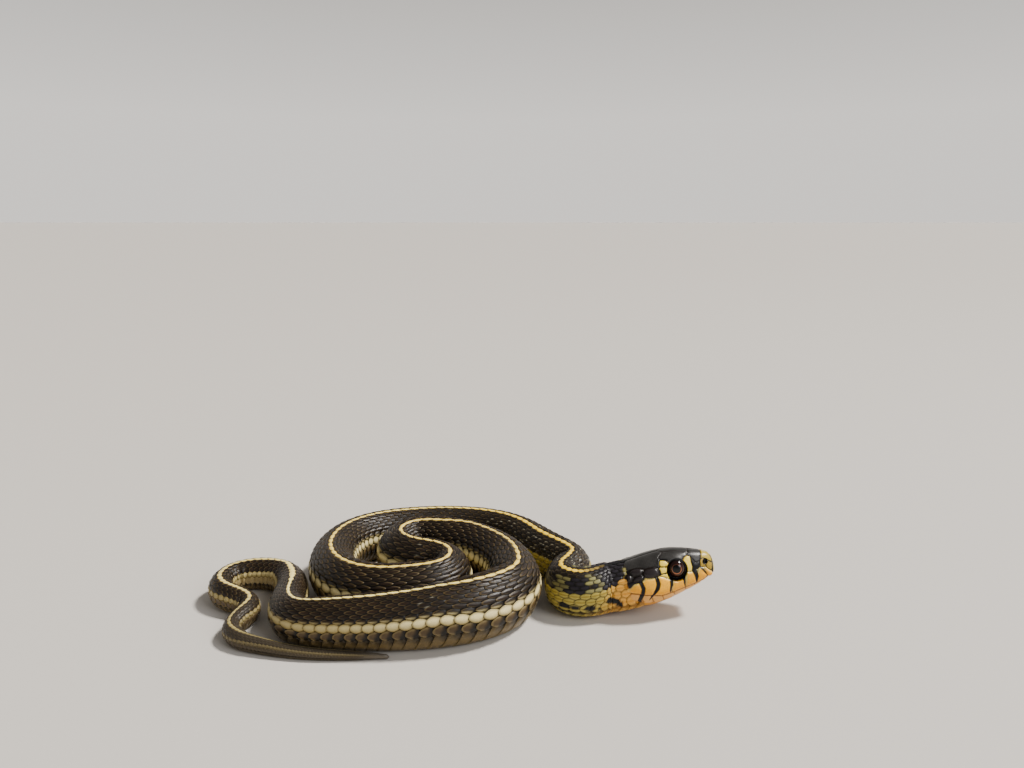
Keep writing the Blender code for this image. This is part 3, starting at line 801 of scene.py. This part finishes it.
# A rounded plate: points round an oval whose corners are filled out a little, turned by a small angle.
def oval(u, a, long, high, tilt):
    turns = np.arange(20) / 20 * 2 * np.pi
    x = long * np.sign(np.cos(turns)) * np.abs(np.cos(turns)) ** 0.8
    y = high * np.sign(np.sin(turns)) * np.abs(np.sin(turns)) ** 0.8
    c, d = math.cos(tilt), math.sin(tilt)
    return [(u + px * c - py * d, a + px * d + py * c) for px, py in zip(x.tolist(), y.tolist())]


# Head plates, drawn on the head's skin as (distance behind the snout, distance along the skin from the
# middle of the crown). Each stands for its mirror image too, and the middle ones cross the middle.
plates = {
    "rostral": ("snout", [
        (-0.6, -2), (-0.6, 5), (0.62, 4.2), (0.62, 2.9), (0.12, 1.4), (0.30, 0), (0.30, -2),
    ]),
    "internasal": ("snout", [(0.30, 0), (0.12, 1.4), (0.45, 1.5), (2.45, 2.4), (2.15, 1.3), (1.85, 0)]),
    "prenasal": ("nasal", [(0.40, 1.5), (1.70, 2.05), (1.75, 3.7), (1.30, 3.45), (0.62, 2.9), (0.2, 2.0)]),
    "postnasal": ("nasal", [(1.70, 2.05), (2.50, 2.4), (2.80, 2.95), (3.0, 4.1), (2.2, 4.0), (1.75, 3.7)]),
    "prefrontal": ("crown", [
        (1.85, 0), (2.10, 1.3), (2.50, 2.4), (2.80, 2.9), (3.70, 3.35), (4.45, 2.3), (5.1, 1.8), (4.6, 1.3),
        (4.3, 0),
    ]),
    "frontal": ("crown", [(4.3, -2), (4.3, 0), (4.6, 1.3), (7.0, 1.05), (9.4, 0.95), (10.4, 0), (10.4, -2)]),
    "supraocular": ("crown", [
        (4.6, 1.3), (7.0, 1.05), (9.4, 0.95), (10.65, 2.2), (10.35, 2.7), (9.2, 3.05), (7.4, 3.1), (5.8, 2.6),
        (5.1, 1.8),
    ]),
    "parietal": ("crown", [
        (10.4, 0), (9.4, 0.95), (10.65, 2.25), (10.7, 3.0), (11.3, 4.0), (13.6, 3.8), (15.6, 3.35),
        (16.9, 2.9), (17.0, 1.6), (16.6, 0.5), (15.9, 0),
    ]),
    "loreal": ("black", [
        (2.8, 2.92), (3.7, 3.35), (4.4, 2.5), (4.55, 3.3), (4.5, 4.25), (4.6, 4.9), (3.45, 4.6), (3.0, 4.1),
    ]),
    "preocular": ("pale", [
        (4.45, 2.15), (5.75, 2.6), (5.5, 3.5), (5.35, 4.4), (5.7, 5.3), (4.8, 5.2), (4.5, 4.25), (4.55, 3.3),
    ]),
    "postocularUpper": ("pale", [(9.6, 3.15), (10.3, 2.95), (10.7, 3.2), (10.65, 4.1), (9.9, 4.25), (9.5, 3.7)]),
    "postocularMiddle": ("pale", [(9.65, 4.25), (10.75, 4.15), (11.15, 4.8), (10.7, 5.5), (9.9, 5.4)]),
    "postocularLower": ("pale", [(9.9, 5.4), (10.7, 5.5), (11.1, 5.75), (10.8, 6.0), (9.5, 6.6), (8.9, 6.5)]),
    "temporalFront": ("temple", oval(12.78, 5.06, 1.62, 0.98, 0.04)),
    "temporalUpper": ("temple", oval(15.52, 4.25, 1.30, 0.76, -0.12)),
    "temporalLower": ("temple", oval(15.42, 5.66, 1.10, 0.66, 0.10)),
    "temporalRear": ("temple", oval(17.10, 4.95, 0.62, 0.72, 0.0)),
    "temporalCorner": ("black", [(14.3, 5.95), (16.3, 5.7), (17.5, 5.6), (17.4, 6.7), (16.5, 6.35), (15.2, 6.25)]),
    "upperLip1": ("lip", [
        (0.62, 2.9), (1.30, 3.45), (2.2, 4.0), (2.2, 5.0), (1.75, 5.5), (0.9, 5.0), (0.5, 4.4),
    ]),
    "upperLip2": ("lip", [
        (2.2, 4.0), (3.0, 4.1), (3.45, 4.6), (4.1, 5.9), (4.3, 7.5), (2.5, 6.5), (1.75, 5.6), (2.2, 5.0),
    ]),
    "upperLip3": ("lip", [
        (3.45, 4.6), (4.8, 5.2), (5.7, 5.3), (6.1, 5.6), (6.3, 6.6), (6.7, 8.5), (4.3, 7.6), (4.1, 5.9),
    ]),
    "upperLip4": ("lip", [(6.1, 5.6), (7.1, 6.5), (8.8, 6.6), (9.3, 7.6), (9.6, 9.4), (6.7, 8.6), (6.3, 6.6)]),
    "upperLip5": ("lip", [
        (8.8, 6.6), (9.5, 6.6), (10.8, 6.0), (11.9, 6.15), (12.15, 7.7), (13.5, 9.4), (11.8, 9.85), (9.6, 9.4),
        (9.3, 7.7),
    ]),
    "upperLip6": ("lip", [
        (11.9, 6.15), (13.0, 6.05), (14.2, 5.85), (15.15, 6.35), (14.9, 7.6), (15.5, 8.85), (13.5, 9.5),
        (12.15, 7.7),
    ]),
    "upperLip7": ("lip", [(15.15, 6.35), (16.6, 6.3), (17.7, 7.0), (17.6, 7.7), (15.5, 8.85), (14.9, 7.6)]),
}

middlePairs = ("internasal", "prefrontal", "parietal")  # these meet their mirror image on the middle line

# half girth of the head on which the plates were drawn, by the distance behind the snout
drawnHalf = [
    (-0.15, 0.3), (0, 3.6), (2, 8.62), (4, 10.61), (6, 12.08), (8, 13.37), (10, 14.6), (12, 15.6), (14, 16.06),
    (16, 15.99), (18, 15.46), (20, 15.13), (22, 15.0),
]

# line of the mouth, back to its corner, and the widths of the lower lip's plates along it
mouthLine = [
    (-0.3, 2.0), (0.1, 3.2), (0.55, 4.3), (1.15, 5.0), (2.4, 6.25), (3.65, 7.15), (6.15, 8.25), (9.2, 9.2),
    (11.8, 9.74), (14.65, 8.98), (16.75, 8.0), (17.8, 7.45),
]
lowerLip = {
    "edges": [-0.2, 0.9, 2.0, 3.3, 4.8, 6.8, 9.2, 11.6, 13.8, 15.8, 17.6],
    "width": [(0, 0.7), (2, 1.0), (6, 1.45), (11, 1.9), (16, 1.6), (18, 1.2)],
}
for k, (front, back) in enumerate(zip(lowerLip["edges"], lowerLip["edges"][1:])):
    ends = [(u, float(table(mouthLine, u))) for u in (front, back)]
    wide = [float(table(lowerLip["width"], u)) for u in (front, back)]
    lean = 0.35
    plates["lowerLip%d" % (k + 1)] = ("chinLip", [
        (front, ends[0][1]), (back, ends[1][1]),
        (back - lean, ends[1][1] + wide[1]), (front - lean, ends[0][1] + wide[0]),
    ])


def chinEdge(u):
    return float(table(mouthLine, u)) + float(table(lowerLip["width"], u))


# chin shields: two pairs beside the middle of the throat, told by the distance from that middle
for name, front, back, inner, outer in (
    ("mental", -0.3, 1.0, 0.0, 0.9), ("chinShieldFront", 1.0, 6.2, 0.0, 2.1), ("chinShieldRear", 6.2, 11.0, 0.1, 2.0),
):
    plates[name] = ("chin", [(front, -inner), (back, -inner), (back + 0.4, -outer * 0.9), (front + 0.3, -outer)])

plateLook = {
    # colour, colour towards the rim, width of that rim, how far the plate swells, strength of its outline
    "crown": (paint(48, 47, 46), paint(12, 11, 11), 0.16, 0.05, 0.9),
    "temple": (paint(40, 35, 36), paint(5, 5, 6), 0.34, 0.42, 0.9),
    "black": (paint(11, 10, 11), paint(8, 8, 8), 0.15, 0.06, 0.9),
    "snout": (paint(176, 158, 90), paint(74, 64, 36), 0.14, 0.06, 0.8),
    "nasal": (paint(160, 138, 80), paint(34, 28, 20), 0.16, 0.07, 0.9),
    "pale": (paint(236, 214, 128), paint(176, 146, 72), 0.16, 0.14, 0.95),
    "lip": (paint(240, 188, 104), paint(255, 230, 166), 0.34, 0.19, 0.6),
    "chinLip": (paint(206, 164, 116), paint(176, 130, 86), 0.16, 0.06, 0.5),
    "chin": (paint(204, 164, 108), paint(184, 140, 86), 0.16, 0.05, 0.5),
}

# black bars on the sutures of the lips and round them: half width at the start and the end, and a line
bars = [
    (0.42, 0.44, [(15.2, 6.3), (14.95, 7.5), (15.35, 8.6), (16.1, 9.6)]), (0.36, 0.16, [(16.1, 9.6), (15.9, 10.5)]),
    (0.44, 0.42, [(12.0, 6.3), (11.95, 7.2), (12.3, 8.1)]), (0.42, 0.10, [(12.3, 8.1), (13.4, 9.3), (14.2, 10.1)]),
    (0.44, 0.24, [(9.2, 6.6), (9.45, 7.7), (9.85, 8.75)]), (0.22, 0.06, [(9.85, 8.75), (10.0, 9.3)]),
    (0.40, 0.12, [(6.7, 6.3), (6.75, 7.3), (6.8, 8.2)]),
    (0.62, 0.18, [(4.25, 5.0), (4.15, 6.0), (4.35, 7.3)]),
    (0.30, 0.20, [(2.75, 4.25), (2.25, 4.95), (1.9, 5.4)]),
    (0.20, 0.12, [(0.62, 2.9), (0.12, 1.4), (0.25, 0.4)]), (0.18, 0.1, [(0.62, 2.9), (0.7, 4.2)]),
    (0.20, 0.14, [(2.9, 3.0), (3.05, 4.0)]), (0.30, 0.26, [(10.7, 2.8), (11.05, 3.4), (11.0, 4.1)]),
    (0.24, 0.22, [(9.2, 2.95), (10.7, 2.75)]), (0.13, 0.10, [(9.6, 4.25), (10.9, 4.15)]),
    (0.13, 0.10, [(9.8, 5.4), (10.8, 5.5)]), (0.16, 0.12, [(11.1, 4.7), (11.0, 5.6)]),
]


# Distance inside an outline, below 0 outside: the least distance to its sides, by the winding.
def insideOutline(u, a, outline):
    best = np.full(u.shape, 99.0)
    winding = np.zeros(u.shape, bool)
    for (u0, a0), (u1, a1) in zip(outline, outline[1:] + outline[:1]):
        du, da = u1 - u0, a1 - a0
        t = np.clip(((u - u0) * du + (a - a0) * da) / max(du * du + da * da, 1e-9), 0, 1)
        best = np.minimum(best, np.hypot(u - u0 - t * du, a - a0 - t * da))
        crosses = ((a0 > a) != (a1 > a)) & (u < du * (a - a0) / (da if da else 1e-9) + u0)
        winding ^= crosses
    return np.where(winding, best, -best)


# The plates over the head: at each point the plate that it lies deepest in, and half the lead that this
# plate has over the next, which is 0 on the groove between them.
def plateField(u, a, fromThroat):
    first = np.full(u.shape, -99.0)
    second = np.full(u.shape, -99.0)
    winner = np.zeros(u.shape, int)
    names = list(plates)
    for k, name in enumerate(names):
        outline = plates[name][1]
        if plates[name][0] == "chin":
            inside = insideOutline(u, fromThroat, outline)
        else:
            inside = insideOutline(u, a, outline)
        ahead = inside > first
        second = np.where(ahead, first, np.maximum(second, inside))
        winner = np.where(ahead, k, winner)
        first = np.maximum(first, inside)
    for name in middlePairs:
        mirrored = insideOutline(u, -a, plates[name][1])
        second = np.maximum(second, np.minimum(mirrored, first))
    return names, winner, first, (first - second) / 2


nostril = {"behind": 1.70, "up": 1.10, "long": 0.58, "high": 0.50, "deep": 0.50}
eyeForm = {"rim": 1.80, "cup": 2.25, "sink": 0.30, "gazeUp": 12.0, "gazeBack": 4.0, "pupil": 25.0, "ring": 29.0}


# Head skin at (s, q): plates swell between grooves, the orbit is a cup that closes on the eyeball, the
# nostril is a pit, and the mouth a groove under the lip's edge. Returns the points and their colours.
def shapeHead(s, q):
    point, normal = surfaceAt(s, q)
    behind, half = s + spine["headLength"], halfGirth(s)
    a = np.abs(q) * half
    fromThroat = a - half
    a = a - (half - table(drawnHalf, behind)) * np.minimum(a / 4.5, 1)
    names, winner, inside, edge = plateField(behind, a, fromThroat)
    looks = [plateLook[plates[n][0]] for n in names]
    base = np.array([look[0] for look in looks])[winner]
    rimColour = np.array([look[1] for look in looks])[winner]
    rimWidth = np.array([look[2] for look in looks])[winner]
    swell = np.array([look[3] for look in looks])[winner]
    kinds = np.array([plates[n][0] for n in names])[winner]
    edge = np.where(kinds == "temple", np.minimum(edge, np.maximum(inside, 0)), edge)
    out = 1 - smooth(-0.55, -0.2, inside)  # beyond the plates: the bare skin of nape and throat
    groove = np.exp(-((edge / 0.07) ** 2)) * (1 - out)
    rise = swell * (1 - (1 - np.clip(edge / 0.75, 0, 1)) ** 2) * (1 - out) - 0.09 * groove
    mouth = lineDistance(behind, a, mouthLine)
    rise = rise + 0.05 * (np.array([plates[n][0] == "lip" for n in names])[winner]) * smooth(0.0, 0.3, edge)
    rise = rise - 0.12 * np.exp(-((mouth / 0.10) ** 2)) * (behind < 17.9)
    rise = rise - coat["depth"] * out * smooth(13.5, 16.5, behind)
    point = point + normal * rise[..., None]
    shade = mix(base, rimColour, 1 - smooth(0.3, 1.0, edge / rimWidth))
    mottle = np.sin(behind * 9 + 3 * np.sin(q * 75)) * np.sin(q * 150 + 2 * np.sin(behind * 7))
    shade = shade * (1 + 0.5 * mottle * (kinds == "crown"))[..., None]
    mouth = lineDistance(behind, a, mouthLine)
    deep = (1 - smooth(0.2, 1.8, mouth)) * (kinds == "lip") * 0.6
    shade = mix(shade, paint(206, 146, 80), deep)
    ink = np.exp(-((edge / 0.09) ** 2)) * np.array([look[4] for look in looks])[winner]
    ink = ink * smooth(-0.3, -0.06, inside)
    shade = mix(shade, paint(26, 16, 9), ink)
    bare = mix(colour["orangeEdge"], colour["yellowEdge"], smooth(14, 20, behind))
    bare = mix(bare, plateLook["chin"][0], smooth(0.75, 0.95, np.abs(q)))
    cheek = smooth(0.33, 0.37, np.abs(q)) * (1 - smooth(18.0, 19.2, behind)) * (1 - smooth(0.7, 0.8, np.abs(q)))
    bare = mix(bare, colour["orange"], cheek)
    bare = mix(colour["creamLow"], bare, smooth(0.3, 0.36, np.abs(q)))
    temple = smooth(10.8, 11.2, behind) * (1 - smooth(17.3, 17.6, behind)) * smooth(0.15, 0.2, np.abs(q))
    bare = mix(bare, colour["black"], temple * (1 - smooth(6.1, 6.5, a)))
    bare = mix(colour["black"], bare, smooth(0.05, 0.09, np.abs(q)))
    shade = mix(shade, bare, out)
    for wide, narrow, line in bars:
        length = np.cumsum([0] + [math.dist(p, r) for p, r in zip(line, line[1:])])
        for k in range(len(line) - 1):
            (u0, a0), (u1, a1) = line[k], line[k + 1]
            du, da = u1 - u0, a1 - a0
            t = np.clip(((behind - u0) * du + (a - a0) * da) / (du * du + da * da), 0, 1)
            reach = wide + (narrow - wide) * (length[k] + t * (length[k + 1] - length[k])) / length[-1]
            far = np.hypot(behind - u0 - t * du, a - a0 - t * da)
            shade = mix(shade, colour["black"], 1 - smooth(0.82, 1.08, far / reach))
    shade = mix(shade, paint(70, 36, 18), (1 - smooth(0.03, 0.09, mouth)) * (behind < 17.9) * 0.8)
    local = (point - headTurn[:3, 3]) @ headTurn[:3, :3]
    side = np.where(local[..., 1] > 0, 1.0, -1.0)
    up, reachOut = local[..., 2], np.abs(local[..., 1])
    far = np.hypot(local[..., 0] + headForm["eyeBehind"], up - headForm["eyeUp"])
    far = np.where((reachOut < 1.2) | (up > 4.6), 9.0, far)
    radius = headForm["eyeRadius"]
    ball = headForm["eyeOut"] + np.sqrt(np.maximum(radius**2 - np.minimum(far, eyeForm["rim"]) ** 2, 0))
    cup = smooth(eyeForm["rim"] - 0.04, eyeForm["cup"], far)
    sunk = (ball - 0.04) * (1 - cup) + reachOut * cup + 0.07 * np.exp(-(((far - 2.2) / 0.2) ** 2))
    sunk = np.where(far < eyeForm["rim"] - 0.04, ball - eyeForm["sink"] * smooth(1.76, 1.5, far) - 0.04, sunk)
    local[..., 1] = np.where(far < 2.6, side * np.minimum(sunk, reachOut + 0.07), local[..., 1])
    shade = mix(shade, colour["black"], 1 - smooth(2.05, 2.22, far))
    hole = np.hypot((local[..., 0] + nostril["behind"]) / nostril["long"], (up - nostril["up"]) / nostril["high"])
    hole = np.where(reachOut < 1.0, 9.0, hole)
    local[..., 1] -= side * nostril["deep"] * (1 - smooth(0.5, 1.05, hole))
    shade = mix(shade, colour["black"], 1 - smooth(0.95, 1.25, hole))
    return local @ headTurn[:3, :3].T + headTurn[:3, 3], shade


# The skin: a close grid on the head and an open one on the body, joined where they meet. Between two
# loops of each grid run four-sided faces, and the snout and the tip of the tail close on one point.
skinForm = {"headColumns": 288, "headStep": 0.1, "bodyColumns": 96, "neckStep": 0.4, "bodyStep": 1.25, "snoutRings": 13}


def tubeQuads(start, rows, count):
    i, j = np.meshgrid(np.arange(rows - 1), np.arange(count), indexing="ij")
    k = (j + 1) % count
    a = start + i * count
    return np.stack([a + j, a + count + j, a + count + k, a + k], -1).reshape(-1, 4)


def buildSkin():
    columns, coarse = skinForm["headColumns"], skinForm["bodyColumns"]
    tip = -spine["headLength"] - 0.15
    s = np.r_[np.linspace(0, 1, skinForm["snoutRings"] + 1)[1:] ** 2 + tip, np.arange(tip + 1.1, 0.05, skinForm["headStep"])]
    headS, headQ = np.meshgrid(s, -1 + 2 * np.arange(columns) / columns, indexing="ij")
    head, headShade = shapeHead(headS, headQ)
    s = np.r_[np.arange(0.6, 30, skinForm["neckStep"]), np.arange(30, bodyEnd - 0.3, skinForm["bodyStep"]), bodyEnd]
    bodyS, bodyQ = np.meshgrid(s, -1 + 2 * np.arange(coarse) / coarse, indexing="ij")
    body, normal = surfaceAt(bodyS, bodyQ)
    thin = np.minimum(coat["depth"], halfGirth(bodyS) * 0.03 + 0.02)
    body = body - normal * thin[..., None]
    body[..., 2] = np.maximum(body[..., 2], 0.05)
    flat = 0 * bodyS
    bodyShade = markingsAndPaintedLight(bodyS, bodyQ, rowAt(bodyS, bodyQ), flat - 0.9, flat + 1.0, flat + 1, bodyS, bodyQ)
    nose = fromHead(np.array([[0.15, 0, 0.05]]))
    end = body[-1].mean(0) * 1.5 - body[-2].mean(0) * 0.5
    points = np.concatenate([nose, head.reshape(-1, 3), body.reshape(-1, 3), end[None]])
    shade = np.concatenate([headShade[0, :1], headShade.reshape(-1, 3), bodyShade.reshape(-1, 3), bodyShade[-1, :1]])
    bodyStart = 1 + head.shape[0] * columns
    j, c = np.arange(columns), np.arange(coarse)
    ratio = columns // coarse
    edge, last = bodyStart - columns, bodyStart + (len(s) - 1) * coarse
    faces = [
        np.stack([0 * j, 1 + j, 1 + (j + 1) % columns], 1),
        tubeQuads(1, head.shape[0], columns),
        np.stack([edge + c * ratio, bodyStart + c, bodyStart + (c + 1) % coarse]
                 + [edge + (c * ratio + k) % columns for k in range(ratio, 0, -1)], 1),
        tubeQuads(bodyStart, len(s), coarse),
        np.stack([0 * c + len(points) - 1, last + (c + 1) % coarse, last + c], 1),
    ]
    corners = np.concatenate([f.ravel() for f in faces])
    sizes = np.concatenate([np.full(len(f), f.shape[1]) for f in faces])
    return addObject("skin", points, corners, sizes, shade)


print("skin")
skin = buildSkin()
skinFinish = skinMaterial("skinFinish", 0.33, 0.3, 3500.0, 0.28, 0.03)
skin.data.materials.append(skinFinish)
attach(skin, "root")
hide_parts(*[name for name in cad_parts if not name.startswith("eye")])
print("skin", sum(len(p.vertices) - 2 for p in skin.data.polygons), "triangles")


# An eyeball: rings round the line of sight, close together where pupil and iris meet. The colour goes
# by the angle from that line, and the inner side is flat, as the solid's is.
def buildEye(name, side):
    angles = np.radians(np.r_[0.5, 6, 12, 18, 22, 24, 25, 25.8, 26.6, 28, 29.5, 31, 32.5, 35, 40, np.arange(48, 176, 8), 178])
    turns = np.arange(64) / 64 * 2 * np.pi
    up, back = math.radians(eyeForm["gazeUp"]), math.radians(eyeForm["gazeBack"])
    gaze = np.array([-math.sin(back) * math.cos(up), side * math.cos(back) * math.cos(up), math.sin(up)])
    across = np.cross(gaze, (0, 0, 1.0))
    across /= np.linalg.norm(across)
    rise = np.cross(across, gaze)
    ring = np.cos(turns)[:, None] * across + np.sin(turns)[:, None] * rise
    point = np.cos(angles)[:, None, None] * gaze + np.sin(angles)[:, None, None] * ring[None]
    ends = np.array([gaze, -gaze])
    point = np.concatenate([ends[:1], point.reshape(-1, 3), ends[1:]]) * headForm["eyeRadius"]
    point += (-headForm["eyeBehind"], side * headForm["eyeOut"], headForm["eyeUp"])
    point[:, 1] = np.where(point[:, 1] * side < 0.9, side * 0.9, point[:, 1])
    angle = np.degrees(np.r_[0, np.repeat(angles, len(turns)), np.pi])
    turn = np.r_[0, np.tile(turns, len(angles)), 0]
    low = 0.5 - 0.5 * np.sin(turn)
    ringColour = mix(paint(66, 44, 37), paint(182, 130, 102), low)
    iris = mix(mix(paint(36, 22, 20), paint(60, 36, 30), low), paint(9, 6, 7), smooth(38, 60, angle))
    pupil, ring = eyeForm["pupil"], eyeForm["ring"]
    shade = mix(paint(3, 3, 4), ringColour, smooth(pupil - 0.4, pupil + 1.4, angle))
    shade = mix(shade, iris, smooth(ring - 1.5, ring + 2.5, angle))
    shade = mix(shade, paint(6, 5, 6), smooth(58, 68, angle))
    n = len(turns)
    j = np.arange(n)
    last = 1 + (len(angles) - 1) * n
    caps = [np.stack([0 * j, 1 + (j + 1) % n, 1 + j], 1), np.stack([0 * j + len(point) - 1, last + j, last + (j + 1) % n], 1)]
    quads = tubeQuads(1, len(angles), n)[:, ::-1]
    faces = [caps[0], quads, caps[1]]
    corners = np.concatenate([f.ravel() for f in faces])
    sizes = np.concatenate([np.full(len(f), f.shape[1]) for f in faces])
    eye = addObject(name, fromHead(point), corners, sizes, shade)
    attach(eye, "root")
    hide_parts(name.replace("Ball", ""))
    return eye


print("eyes")
eyeFinish = skinMaterial("eyeFinish", 0.14, 0.02, 2500.0, 0.15, 0.3)
eyeFinish.node_tree.nodes["Principled BSDF"].inputs["Coat Roughness"].default_value = 0.03
for name, side in (("eye_leftBall", 1), ("eye_rightBall", -1)):
    buildEye(name, side).data.materials.append(eyeFinish)

# Stage: floor, lights and camera.
floorMesh = bpy.data.meshes.new("floor")
reach = 30.0
floorMesh.from_pydata([(-reach, -reach, 0), (reach, -reach, 0), (reach, reach, 0), (-reach, reach, 0)], [], [(0, 1, 2, 3)])
floor = bpy.data.objects.new("floor", floorMesh)
bpy.context.scene.collection.objects.link(floor)
floorFinish = bpy.data.materials.new("floorFinish")
floorFinish.use_nodes = True
floorFinish.node_tree.nodes["Principled BSDF"].inputs["Base Color"].default_value = (0.56, 0.53, 0.49, 1)
floorFinish.node_tree.nodes["Principled BSDF"].inputs["Roughness"].default_value = 0.8
floor.data.materials.append(floorFinish)

# Soft studio surround: palest at the level of the floor's far edge, calmer above.
world = bpy.data.worlds.new("studio")
bpy.context.scene.world = world
world.use_nodes = True
worldNodes, worldLinks = world.node_tree.nodes, world.node_tree.links
direction = worldNodes.new("ShaderNodeTexCoord")
split = worldNodes.new("ShaderNodeSeparateXYZ")
ramp = worldNodes.new("ShaderNodeValToRGB")
worldLinks.new(direction.outputs["Generated"], split.inputs["Vector"])
worldLinks.new(split.outputs["Z"], ramp.inputs["Fac"])
worldLinks.new(ramp.outputs["Color"], worldNodes["Background"].inputs["Color"])
surround = [(0.0, 1.02), (0.12, 1.02), (0.30, 0.62), (0.50, 0.30), (1.0, 0.24)]  # height on a unit ball, brightness
while len(ramp.color_ramp.elements) < len(surround):
    ramp.color_ramp.elements.new(0.5)
for element, (height, level) in zip(ramp.color_ramp.elements, surround):
    element.position = height
    element.color = (level, level * 0.955, level * 0.90, 1)


def addLight(name, kind, place, size, power, tint):
    data = bpy.data.lights.new(name, kind)
    data.energy = power
    data.color = tint
    if kind == "SUN":
        data.angle = size
    else:
        data.size = size
    lamp = bpy.data.objects.new(name, data)
    lamp.location = place
    lamp.rotation_euler = (-Vector(place)).to_track_quat("-Z", "Y").to_euler()
    bpy.context.scene.collection.objects.link(lamp)


addLight("key", "SUN", (0.36, 0.10, 0.50), math.radians(9), 5.9, (1.0, 0.955, 0.90))
addLight("fill", "AREA", (0.55, -0.42, 0.50), 0.4, 3.0, (0.97, 0.98, 1.0))

view = {"place": (0.01106, -0.14870, 0.076), "tilt": 78.0, "focal": 769.0}
cameraData = bpy.data.cameras.new("camera")
cameraData.sensor_width = 36.0
cameraData.lens = 36.0 * view["focal"] / 1024
cameraData.clip_start = 0.005
camera = bpy.data.objects.new("camera", cameraData)
camera.location = view["place"]
camera.rotation_euler = (math.radians(view["tilt"]), 0, 0)
bpy.context.scene.collection.objects.link(camera)
bpy.context.scene.camera = camera

print("done")
